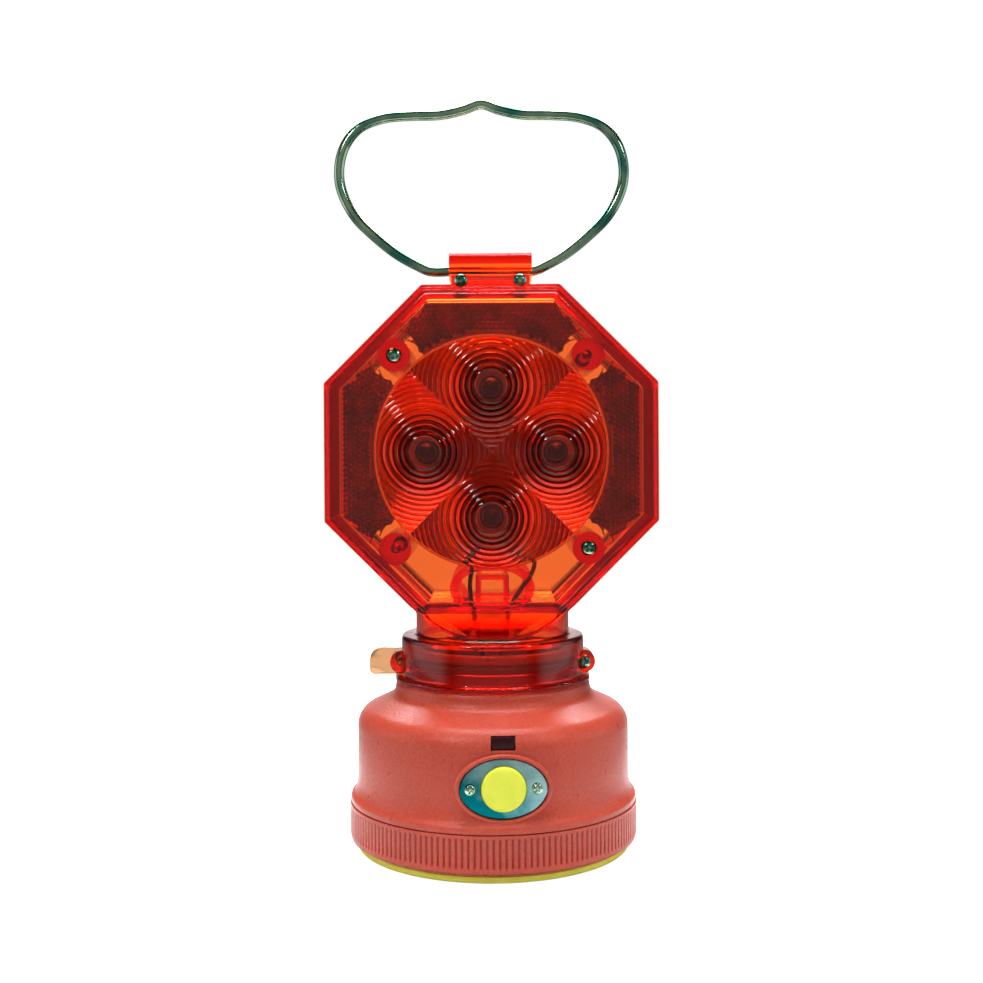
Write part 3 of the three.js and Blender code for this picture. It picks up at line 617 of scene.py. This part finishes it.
def base_housing():
    h = HOUSING
    inner = h["radius"] - h["wall"]
    bore = h["neck"] - 2
    lower = rounded([(inner, h["bottom"]), (h["radius"], h["bottom"], 0.3),
                     (h["radius"], h["flange_bottom"], 0.2),
                     (h["flange"], h["flange_bottom"], 0.25), (h["flange"], h["flange_top"], 0.7),
                     (49.4, 19.6, 0.6), (48.5, 22.2, 1.6), (h["radius"], 26.0, 1.5), (h["radius"], 30.0)], 4)
    upper = rounded([(h["collar_seat"] - 0.4, h["seat"]), (h["neck"], h["seat"], 0.5),
                     (h["neck"], h["bead_bottom"], 0.2), (h["bead"], h["bead_bottom"], 0.3),
                     (h["bead"], h["top"], 0.5), (bore, h["top"], 0.3), (bore, h["seat"] - h["wall"])], 3)
    profile = [*lower, *housing_skin(0)[:-1], *upper, *housing_skin(h["wall"])[::-1]]
    body = turned(profile, 192)
    o = OVAL
    z = o["z"]
    rim_rings = [ellipse(o["width"] - 2 * inset, o["height"] - 2 * inset, -y, z)
                 for inset, y in ((0, inner - 0.9), (0, 48.7), (0.12, 49.12), (0.4, 49.36), (0.7, o["face"]))]
    bezel = combined(loft(rim_rings), cut=[column(inner + 0.5, h["bottom"], h["corner"][1])])
    p = POST
    posts = [bar(p["radius"], 0.6 - inner, -p["tip"], side * p["x"], p["z"], 24) for side in (-1, 1)]
    opening = o["width"] - 2 * o["lip"], o["height"] - 2 * o["lip"]
    pocket_rings = [ellipse(opening[0] + 2 * grow, opening[1] + 2 * grow, -y, z)
                    for grow, y in ((0, o["ledge"]), (0, 49.0), (0.1, 49.25), (0.35, 49.42), (0.35, 60))]
    cuts = [loft(pocket_rings), bar(BUTTON["flange"] + FIT, -60, -40, 0, z)]
    cuts += [bar(SMALL_SCREW["hole"], -60, -45.6, side * o["screws"], z, 24) for side in (-1, 1)]
    w = WINDOW
    half_w, half_h = w["width"] / 2 + FIT, w["height"] / 2 + FIT
    cuts.append(box((-half_w, half_w), (-60, -38), (w["z"] - half_h, w["z"] + half_h), 0.25))
    add = [on_base_front(s) for s in (bezel, *posts)]
    whole = combined(body, add=add, cut=[on_base_front(s) for s in cuts])
    put(whole, "base", "base_housing", "body_plastic", 40)


def switch_plate():
    o = OVAL
    width, height = (o[size] - 2 * (o["lip"] + FIT) for size in ("width", "height"))
    rings = [ellipse(width - 2 * inset, height - 2 * inset, below - o["plate"], o["z"])
             for inset, below in ((0, 0.8), (0, 0.3), (0.1, 0.09), (0.3, 0))]
    holes = [bar(SMALL_SCREW["hole"], -60, -40, side * o["screws"], o["z"], 32) for side in (-1, 1)]
    holes.append(bar(BUTTON["radius"] + FIT, -60, -40, 0, o["z"]))
    whole = on_base_front(combined(loft(rings), cut=holes))
    put(whole, "base", "switch_plate", "plate_steel", 15)


def push_button():
    b = BUTTON
    back = -47.8
    profile = rounded([(0, -b["face"]), (b["radius"] - 1.4, -b["face"] + 0.06, 1.0),
                       (b["radius"], -b["face"] + 0.5, 0.5), (b["radius"], back, 0.2),
                       (b["flange"], back, 0.2), (b["flange"], back + 1, 0.2), (2, back + 1),
                       (2, -b["stem"], 0.3), (0, -b["stem"])], 5)
    crown = moved(turned(profile, 96, upright=False), (0, 0, OVAL["z"]))
    put(on_base_front(crown), "button", "push_button", "button_yellow")


def photocell_window():
    w = WINDOW
    pane = box((-w["width"] / 2, w["width"] / 2), (-w["face"], -w["face"] + 2),
               (w["z"] - w["height"] / 2, w["z"] + w["height"] / 2), 0.25)
    put(on_base_front(pane), "base", "photocell_window", "dark_window")


# ---------------------------------------- screws
def screw(size, length, turn):
    """Pan-head screw with a cross recess: the head's underside is at y 0 and its top towards -Y."""
    top = -size["height"]
    profile = rounded([(0, top - 0.12), (size["head"] * 0.55, top - 0.05, 0.5),
                       (size["head"], top * 0.6, 0.5), (size["head"], 0, 0.15),
                       (size["shaft"], 0), (size["shaft"], length - 0.8),
                       (size["shaft"] * 0.4, length), (0, length)], 4)
    body = turned(profile, 48, upright=False)
    arm, width, deep = size["head"] * 0.62, size["head"] * 0.16, size["height"] * 0.62
    slots = []
    for k in (0, 1):
        near = [(-arm, -3, -width), (arm, -3, -width), (arm, -3, width), (-arm, -3, width)]
        mouth = [(x, top + 0.05, z) for x, _, z in near]
        floor = [(x * 0.45, top + deep, z * 0.7) for x, _, z in near]
        slots.append(moved(loft([near, mouth, floor]), turn=turn + k * math.pi / 2, axis="Y"))
    return combined(body, cut=slots)


def all_screws():
    for side, sign, turn in (("left", -1, 0.3), ("right", 1, 0.9)):
        at = (sign * OVAL["screws"], -(OVAL["plate"] + FIT), OVAL["z"])
        piece = on_base_front(moved(screw(SMALL_SCREW, 3.6, turn), at))
        put(piece, "base", f"plate_screw_{side}", "screw_steel")
    for side, sign, turn in (("left", -1, 0.55), ("right", 1, 0.15)):
        at = (sign * CLIP["screw_x"], -(CLIP["half"] - 0.3 + FIT), CLIP["screw_z"])
        piece = moved(screw(SCREW, CLIP["screw_length"], turn), at)
        put(piece, "head", f"clip_screw_{side}", "screw_steel")
    for face, half_turn in (("front", 0), ("rear", math.pi)):
        for place, sx, sz, turn in (("high", -1, 1, 0.35), ("low", 1, -1, 0.7)):
            at = (sx * BOSS["offset"], -(BOSS["seat"] + FIT), HEAD["z"] + sz * BOSS["offset"])
            piece = moved(screw(FACE_SCREW, BOSS["seat"] + BOSS["blind"] - 1.7, turn), at)
            node = f"corner_screw_{face}_{place}"
            put(moved(piece, turn=half_turn), "head", node, "screw_steel")
        under_head = (TAB["far"] if half_turn else EAR["depth"]) + FIT
        piece = moved(screw(SCREW, under_head + 1.6, 0.2), (EAR["x"], -under_head, EAR["z"]))
        node = f"collar_screw_{face}"
        put(moved(piece, turn=half_turn), "head", node, "screw_steel")


# ---------------------------------------- head
def head_steps():
    """Corners, as (half width, y, rounding), of the steps that narrow the head from parting line to face."""
    h = HEAD
    tread = (h["half"] - h["face"]) / len(h["steps"])
    return [(h["half"] - (k + past) * tread, -step, 0.3)
            for k, step in enumerate(h["steps"]) for past in (0, 1)]


def head_shell():
    """Front half of the head, with its half of the neck and collar. The rear half is the same, turned."""
    h, parting = HEAD, -HEAD["split"]
    z, face, wall = h["z"], h["face"], h["wall"]
    outer = rounded([(h["half"], parting), *head_steps(), (face, -h["depth"], 0.5),
                     (face - 0.7, -h["depth"])], 3)
    body = loft([octagon(half, y) for half, y in outer])
    inner = rounded([(h["half"] - wall, 5), (h["half"] - wall, wall - h["steps"][0], 2),
                     (face - wall, wall - h["depth"], 0.9), (face - wall - 1.2, wall - h["depth"])], 3)
    hollow = loft([octagon(half, y) for half, y in inner])

    n, c = NECK, COLLAR
    outer_neck = column(n["radius"], c["top"] - 0.5, 95)
    inner_neck = column(n["radius"] - n["wall"], 70, 95)

    def sloped(top_z):
        """Space in front of the shoulder's sloping plane."""
        at_back = [(x, 60, top_z + n["slope"] * (60 + n["radius"])) for x in (-60, 60)]
        at_front = [(x, -60, top_z + n["slope"] * (n["radius"] - 60)) for x in (60, -60)]
        low = at_back + at_front
        return loft([low, [(x, y, 160) for x, y, _ in low]])

    outer_neck = combined(outer_neck, cut=[sloped(n["front_z"])])
    inner_neck = combined(inner_neck, cut=[sloped(n["front_z"] - n["wall"] * 1.1)])
    lens_hole = bar(LENS["radius"] + FIT, -40, -10, 0, z, 128)
    skin = combined(body, add=[outer_neck], cut=[hollow, inner_neck, lens_hole])

    lip, lip_top = c["lip"], c["bottom"] + c["lip_height"]
    sleeve = turned(rounded([
        (n["radius"] - 1, c["bottom"]), (lip, c["bottom"], 0.4), (lip, lip_top, 0.6),
        (c["radius"], lip_top + 0.1, 0.7), (c["radius"], c["top"], 1.3), (n["radius"] + 0.8, c["top"], 0.4),
        (n["radius"], c["top"] + 0.8, 0.3), (n["radius"] - 1, c["top"] + 0.8)], 5), 160)
    boss, ear = BOSS["offset"], EAR
    ear_x, ear_z = ear["x"], ear["z"]
    posts = [bar(BOSS["radius"], -h["depth"] + 0.5, parting, sx * boss, z + sz * boss, 64)
             for sx in (-1, 1) for sz in (-1, 1)]
    lug_bar = box((-LUG["half"], LUG["half"]), (-LUG["depth"], parting), (LUG["bottom"], LUG["top"]), 0.2)
    ears = [bar(ear["radius"], -ear["depth"], parting, side * ear_x, ear_z, 48, 0.4) for side in (-1, 1)]
    solid = combined(skin, add=[sleeve, lug_bar, *posts, *ears, wire_guide()])

    ramp, ceiling, neck_bore = c["inner"] - c["rib"], c["top"] - n["wall"], n["radius"] - n["wall"]
    bore = turned([(0, c["bottom"] - 5), (c["inner"], c["bottom"] - 5), (c["inner"], c["rib_bottom"] - ramp),
                   (c["rib"], c["rib_bottom"]), (c["rib"], c["rib_top"]),
                   (c["inner"], c["rib_top"] + ramp / 2), (c["inner"], ceiling - 0.2), (neck_bore, ceiling),
                   (neck_bore, c["top"] + 1), (0, c["top"] + 1)], 160)
    hole = SCREW["hole"]
    holes = []
    for sx, sz in ((-1, 1), (1, -1)):
        x, hz = sx * boss, z + sz * boss
        holes += [bar(BOSS["well"], -40, -BOSS["seat"], x, hz, 40), bar(hole, -30, 5, x, hz, 24),
                  bar(hole, -BOSS["blind"], 5, -x, hz, 24)]
    holes += [bar(hole, -20, 5, side * CLIP["screw_x"], CLIP["screw_z"], 24) for side in (-1, 1)]
    holes += [bar(hole, -20, 5, ear_x, ear_z, 24), bar(hole, -ear["blind"], 5, -ear_x, ear_z, 24),
              bar(SCREW["head"] + FIT, -40, -ear["depth"], ear_x, ear_z, 40)]
    behind = box((-100, 100), (parting, 100), (0, 300))
    return combined(solid, cut=[bore, *holes, behind])


def wire_guide():
    """Oval rib and square frame inside the lower face, which steer the leads into the neck."""
    g = GUIDE

    def stack(width, height, y0, y1):
        return loft([ellipse(width, height, y0, g["z"]), ellipse(width, height, y1, g["z"])])

    oval = combined(stack(g["width"], g["height"], g["near"], g["back"]),
                    cut=[stack(g["width"] - 2 * g["rib"], g["height"] - 2 * g["rib"], -30, 0)])
    half, bore, z = g["square"] / 2, g["bore"] / 2, g["square_z"]
    square = box((-half, half), (g["near"], g["back"]), (z - half, z + half), 0.4)
    cavity = box((-bore, bore), (-HEAD["depth"] + HEAD["wall"], 0), (z - bore, z + bore))
    lens_space = box((-30, 30), (-30, g["behind"]), (HEAD["z"] - LENS["flange"] - FIT, HEAD["z"]))
    below = box((-30, 30), (-30, 0), (70, g["bottom"]))
    return combined(oval, add=[square], cut=[cavity, lens_space, below])


def fresnel_profile(reach):
    """Half section of one optic, as (radius, height): a smooth dome, then rings that steepen outwards."""
    dome, low, top = LENS["dome"], 0.75, 2.45
    steps = 10
    crown = [(dome * i / steps, top - 0.5 * (i / steps) ** 2) for i in range(steps + 1)]
    rings = []
    r = dome
    while r < reach:
        inside = r < LENS["rosette"] - 0.5
        width, peak, foot = (1.9, 2.3, 1.05) if inside else (1.7, 1.75, low)
        rings += [(r, peak - 0.12), (r + 0.14, peak), (r + 0.34, peak - 0.06),
                  (r + width * 0.66, (peak + foot) / 2 + 0.12), (r + width, foot)]
        r += width
    return crown + rings + [(rings[-1][0], 0), (0, 0)]


def lens_disc():
    """Disc of four Fresnel optics, each cut to its own quarter, over a flange."""
    back, reach = HEAD["wall"] - HEAD["depth"], 42.0
    optic = turned([(r, -h) for r, h in fresnel_profile(reach)], 112, upright=False)
    moved(optic, (0, back, LENS["offset"]))
    radius, overlap = LENS["radius"], 1.002
    arc = [math.radians(a) for a in range(45, 136, 2)]
    wedge = [(0, -0.02)] + [(radius * math.cos(a) * overlap, radius * math.sin(a)) for a in arc]
    quarter = combined(optic, keep=[plate(wedge, -40, 0)])
    quarters = [moved(copy_of(quarter), turn=k * math.pi / 2, axis="Y") for k in (1, 2, 3)]
    disc = bar(radius, back - 0.3, back + 0.8, 0, 0, 160)
    flange = bar(LENS["flange"], back + 0.3, back + 1.3, 0, 0, 160, 0.15)
    return moved(combined(disc, add=[flange, quarter, *quarters]), (0, 0, HEAD["z"]))


def reflector_panel(turn):
    """Panel of six-sided corner prisms, all of them whole but for those that the boss rings cut."""
    p = PANEL
    radius = p["pitch"] / math.sqrt(3)
    levels = (p["front"], p["front"] - p["relief"] / 2, p["front"] - p["relief"])
    bm = bmesh.new()
    made = {}

    def vertex(x, y, z):
        key = (round(x, 3), round(y, 3), round(z, 3))
        if key not in made:
            made[key] = bm.verts.new((x, y, z))
        return made[key]

    rows = int(70 / (radius * 1.5))
    for row in range(-rows, rows):
        for col in range(-40, 41):
            x = (col + (row % 2) / 2) * p["pitch"]
            z = row * radius * 1.5
            clear = p["pitch"] / 2
            octagonal = max(abs(x), z, (abs(x) + z) / math.sqrt(2)) + clear * 0.9
            from_boss = math.hypot(abs(x) - BOSS["offset"], z - BOSS["offset"])
            beside = z <= abs(x) or min(abs(x), z) > p["notch"]
            if (beside or octagonal > p["edge"] or math.hypot(x, z) < p["inner"] + clear * 0.8
                    or from_boss < p["corner"] - clear * 1.8):
                continue
            hexagon = [(x + radius * math.sin(a), z + radius * math.cos(a))
                       for a in (k * math.pi / 3 for k in range(6))]
            middle = vertex(x, -levels[2], z)
            front = [vertex(hx, -levels[k % 2], hz) for k, (hx, hz) in enumerate(hexagon)]
            for k in (1, 3, 5):
                bm.faces.new((middle, front[k], front[(k + 1) % 6], front[(k + 2) % 6]))
            bm.faces.new([vertex(hx, -p["back"], hz) for hx, hz in hexagon])
    open_edges = [e for e in bm.edges if len(e.link_faces) == 1]
    for e in [e for e in open_edges if all(abs(v.co.y + p["back"]) > 0.01 for v in e.verts)]:
        a, b = e.verts
        bm.faces.new((a, b, vertex(b.co.x, -p["back"], b.co.z), vertex(a.co.x, -p["back"], a.co.z)))
    left, right = (bar(p["corner"], -60, 0, side * BOSS["offset"], BOSS["offset"], 64) for side in (-1, 1))
    panel = combined(mesh_object("panel", bm), cut=[combined(left, add=[right])])
    return moved(moved(panel, turn=turn, axis="Y"), (0, 0, HEAD["z"]))


def led_piece(dx, dz):
    back = -BOARD["half"] - FIT
    r, top = LED["radius"], back - LED["height"]
    profile = rounded([(0, back), (r + 0.4, back, 0.1), (r + 0.4, back - 1, 0.15), (r, back - 1),
                       (r, top + r)], 3)
    dome = [math.radians(angle) for angle in range(10, 90, 10)]
    profile += [(r * math.cos(a), top + r - r * math.sin(a)) for a in dome]
    profile.append((0, top))
    at = (dx * LENS["offset"], 0, HEAD["z"] + dz * LENS["offset"])
    return moved(turned(profile, 40, upright=False), at)


def head_pieces():
    shell, lens = head_shell(), lens_disc()
    for face, half_turn in (("front", 0.0), ("rear", math.pi)):
        pieces = [(copy_of(shell), "shell", "head_clear", 30), (copy_of(lens), "lens", "lens_clear", 28)]
        for place, turn in (("top", 0), ("left", -math.pi / 2), ("right", math.pi / 2)):
            pieces.append((reflector_panel(turn), f"reflector_{place}", "reflector_red", 10))
        for place, dx, dz in (("top", 0, 1), ("bottom", 0, -1), ("left", -1, 0), ("right", 1, 0)):
            pieces.append((led_piece(dx, dz), f"led_{place}", "led_body", 35))
        for piece, name, slot, smooth in pieces:
            node = f"{face}_{name}"
            put(moved(piece, turn=half_turn), "head", node, slot, smooth)
    for used in (shell, lens):
        bpy.data.objects.remove(used)


def led_board():
    """Cross-shaped board between the two sets of diodes."""
    half, reach, across = BOARD["half"], BOARD["reach"], BOARD["width"] / 2
    outline = []
    for k in range(4):
        c, s = round(math.cos(k * math.pi / 2)), round(math.sin(k * math.pi / 2))
        for x, z, radius in ((reach, -across, 1.5), (reach, across, 1.5), (across, across, 0.8)):
            outline.append((c * x - s * z, s * x + c * z, radius))
    cross = plate(rounded(outline, 5, closed=True), -half, half, 0.1)
    put(moved(cross, (0, 0, HEAD["z"])), "head", "led_board", "circuit_board")


def side_tab():
    t = TAB
    outline = rounded([(t["right"], t["bottom"]), (t["left"], t["bottom"], 2), (t["left"], t["top"], 5),
                       (t["right"], t["top"])], 8, closed=True)
    blade = plate(outline, t["near"], t["far"], 0.25)
    hole = bar(SCREW["hole"], 0, 10, -EAR["x"], EAR["z"], 32)
    lip = column(COLLAR["lip"] + 0.8, 50, COLLAR["bottom"] + COLLAR["lip_height"] + FIT)
    whole = combined(blade, cut=[column(COLLAR["radius"] + 0.8, 50, 80), lip, hole])
    put(whole, "head", "side_tab", "tab_clear")


def lead_wire(side, name, route):
    """Lead through the given (x, z) points, from the diode board down into the base."""
    knots = [(x, side * 4, z) for x, z in route] + [(side * 3.4, 0, HOUSING["seat"] + 3)]
    put(tube(curve_points(knots, 80), 0.8, 14), "head", name, name.replace("lead_", ""))


# ---------------------------------------- bail and its clip
def bail_clip():
    c = CLIP
    half, top, bottom, slot = c["half"], c["top"], c["bottom"], c["slot"]
    crown, groove, wire_z = top - half, BAIL["radius"] + FIT, BAIL["z"]

    def arc(radius, height, start, end, steps):
        angles = [math.radians(start + (end - start) * k / steps) for k in range(steps + 1)]
        return [(radius * math.cos(a), height + radius * math.sin(a)) for a in angles]

    outline = [(half - 1, bottom), (half - 1, wire_z - 0.8), (half, wire_z - 0.2),
               *arc(half, crown, 0, 180, 28),
               (-half, wire_z - 0.2), (-half + 1, wire_z - 0.8), (-half + 1, bottom), (-slot, bottom),
               (-slot, LUG["top"] + FIT), (-groove, LUG["top"] + FIT), *arc(groove, wire_z, 180, 0, 20),
               (groove, LUG["top"] + FIT), (slot, LUG["top"] + FIT), (slot, bottom)]
    hood = plate(outline, -c["width"] / 2, c["width"] / 2, 0.3)
    hood.data.transform(Matrix.Rotation(math.pi / 2, 4, "Z"))
    bosses = []
    for side in (-1, 1):
        boss = bar(c["boss"], -half + 0.3, -slot - 0.2, side * c["screw_x"], c["screw_z"], 64, 0.2)
        bosses.append(combined(boss, keep=[box((-20, 20), (-20, 20), (bottom, 230))]))
    holes = [bar(SCREW["hole"], -20, slot + 1.2, side * c["screw_x"], c["screw_z"], 24) for side in (-1, 1)]
    put(combined(hood, add=bosses, cut=holes), "head", "bail_clip", "head_clear", 30)


def bail_wire():
    b = BAIL
    side = [(b["straight"], 0), (23.2, 2.0), (30.4, 6.1), (38.5, 12.6), (45.4, 19.7), (50.2, 29.4),
            (50.8, 37.6), (48.6, 45.2), (43.4, 51.4), (35, 54.7), (25, 55.6), (14.5, 55.9), (6.5, 57.6)]

    def at(x, height):
        return Vector((x + b["shift"], 0, b["z"] + height))

    right = [at(b["join"], 0), at(10, 0)] + [at(x, h) for x, h in side]
    left = [at(-b["join"], 0), at(-10, 0)] + [at(-x, h) for x, h in side]
    path = curve_points([*right, at(0, 59.6), *left[::-1]], 420)
    put(tube(path, b["radius"], 24), "bail", "bail", "bail_steel")


# ---------------------------------------- rings
def seal(node, body, size, segments):
    inner, outer, bottom, top, edge = size.values()
    corners = [(r, z, edge) for r, z in ((inner, bottom), (outer, bottom), (outer, top), (inner, top))]
    put(turned(rounded(corners, 3, closed=True), segments), body, node, "seal_rubber")


foot_pad()
battery_cap()
base_housing()
switch_plate()
push_button()
photocell_window()
seal("neck_seal", "base", NECK_SEAL, 128)
seal("cap_seal", "cap_seal", CAP_SEAL, 160)
all_screws()
head_pieces()
led_board()
side_tab()
lead_wire(-1, "lead_wire_black",
          [(-3.5, 108.9), (-7, 104), (-7.1, 98.3), (-7.9, 91.7), (-6.6, 81.6), (-4, 72)])
lead_wire(1, "lead_wire_red",
          [(3.5, 108.9), (11, 104.5), (15.2, 99.5), (14.2, 95), (11.5, 91.2), (6.6, 83.1), (4, 72)])
bail_clip()
bail_wire()

# pieces inside the base keep their CAD shape
slots = {p["node"]: p["material_slot"] for p in frame["record"]["subparts"]}
for name, node in frame["nodes"].items():
    if not node.hide_render:
        node.data.materials.clear()
        node.data.materials.append(LOOKS[slots[name]])


# ---------------------------------------- studio
def studio_world():
    """White backdrop behind the object, bright walls at its sides and a dim room in front.

    Seen directly, the surroundings are plain white. Light that comes through the clear parts also finds a
    brighter patch high behind the object.
    """
    world = bpy.data.worlds.new("studio")
    world.use_nodes = True
    bpy.context.scene.world = world
    sky = Nodes(world.node_tree)
    joined = sky.worked
    direction = sky.node("ShaderNodeTexCoord").outputs["Generated"]
    apart = sky.node("ShaderNodeSeparateXYZ", Vector=direction).outputs
    rays = sky.node("ShaderNodeLightPath").outputs

    def rise(value, start, end, low, high):
        return sky.spread(value, low, high, start, end, "SMOOTHSTEP")

    aside = joined("ABSOLUTE", apart["X"])
    walls = rise(aside, 0.80, 0.97, 0.035, 0.9)
    backdrop = rise(apart["Y"], 0.89, 0.96, 0.035, 1.0)
    before = rise(apart["Y"], -0.55, -0.9, 0.0, 0.28)
    room = joined("MAXIMUM", joined("MAXIMUM", backdrop, walls), before)
    high, central = rise(apart["Z"], 0.34, 0.54, 0.0, 1.2), rise(aside, 0.10, 0.34, 1.0, 0.0)
    behind = joined("ADD", rise(apart["Y"], 0.86, 0.97, 0.18, 1.0), joined("MULTIPLY", high, central))
    through = joined("MAXIMUM", behind, rise(apart["Y"], -0.1, -0.6, 0.0, 0.5))
    bent = rays["Is Transmission Ray"]
    indirect = joined("ADD", joined("MULTIPLY", bent, through),
                      joined("MULTIPLY", joined("SUBTRACT", 1.0, bent), room))
    background = world.node_tree.nodes["Background"].inputs
    sky.put(background["Strength"], joined("MAXIMUM", rays["Is Camera Ray"], indirect))
    sky.put(background["Color"], (1, 1, 1, 1))


def soft_box(name, location, size, radiance, in_gloss=True, target=(0, 0, 0.1)):
    data = bpy.data.lights.new(name, "AREA")
    data.shape = "RECTANGLE"
    data.size, data.size_y = size
    data.energy = radiance * math.pi * size[0] * size[1]
    lamp = bpy.data.objects.new(name, data)
    lamp.location = location
    lamp.visible_glossy = in_gloss
    lamp.rotation_euler = (Vector(target) - Vector(location)).to_track_quat("-Z", "Y").to_euler()
    bpy.context.scene.collection.objects.link(lamp)


def floor():
    """Pale round floor. Its own light, from a pale sheet round the object, is for everything but the camera.

    The camera sees it near white, and the clear parts show a little of that far behind the object.
    """
    obj = column(700, -4, -0.1, 96)
    obj.data.transform(Matrix.Scale(MM, 4))
    obj.name = "studio_floor"
    look = Look("floor_paint", (0.93, 0.93, 0.93), 0.8, emission_color=(1, 1, 1, 1))
    rays = look.node("ShaderNodeLightPath")
    behind = look.spread(look.axis("Y"), 0, 0.13, 0.30, 0.36)
    through = look.mixed(rays.outputs["Is Transmission Ray"], (0, 0, 0), behind)
    seen = look.mixed(rays.outputs["Is Camera Ray"], through, (1, 1, 1))
    apart = look.node("ShaderNodeVectorMath", Vector=look.where)
    apart.operation = "LENGTH"
    far = look.spread(apart.outputs["Value"], 0, 1, 0.11, 0.20)
    sheet = look.mixed(far, (0.64, 0.64, 0.64), (0.08, 0.08, 0.08))
    look.set("Base Color", look.mixed(seen, sheet, (0.93, 0.93, 0.93)))
    look.set("Emission Strength", look.spread(seen, 0.0, 0.8, 0, 1))
    look.set("Roughness", look.spread(look.noise(4), 0.75, 0.85))
    obj.data.materials.append(look.material)


def camera():
    """Close, level with the head, with the slight roll of a hand-set tripod."""
    data = bpy.data.cameras.new("camera")
    data.sensor_width, data.lens, data.shift_y = 36.0, 46.9, -0.03
    obj = bpy.data.objects.new("camera", data)
    obj.location = (0.0, -0.459, 0.138)
    down, roll = math.radians(0.32), math.radians(-0.34)
    obj.matrix_world = (Matrix.Translation(obj.location) @ Matrix.Rotation(math.pi / 2 - down, 4, "X")
                        @ Matrix.Rotation(roll, 4, "Z"))
    bpy.context.scene.collection.objects.link(obj)
    bpy.context.scene.camera = obj


studio_world()
soft_box("overhead", (0.0, 0.50, 0.95), (1.0, 0.8), 10.5)
soft_box("strip", (0.0, 0.0, 1.1), (0.8, 0.24), 7.0)
soft_box("top_soft", (0.0, -0.05, 1.1), (1.0, 0.8), 5.4, in_gloss=False)
soft_box("front_fill", (0.0, -0.9, 0.75), (0.8, 0.4), 1.7, in_gloss=False, target=(0, 0, 0.08))
soft_box("left_spark", (-0.55, -0.75, 0.80), (0.14, 0.14), 32.0)
soft_box("right_spark", (0.70, -0.60, 0.70), (0.12, 0.12), 22.0)
floor()
camera()
scene = bpy.context.scene
scene.view_settings.view_transform = "Standard"
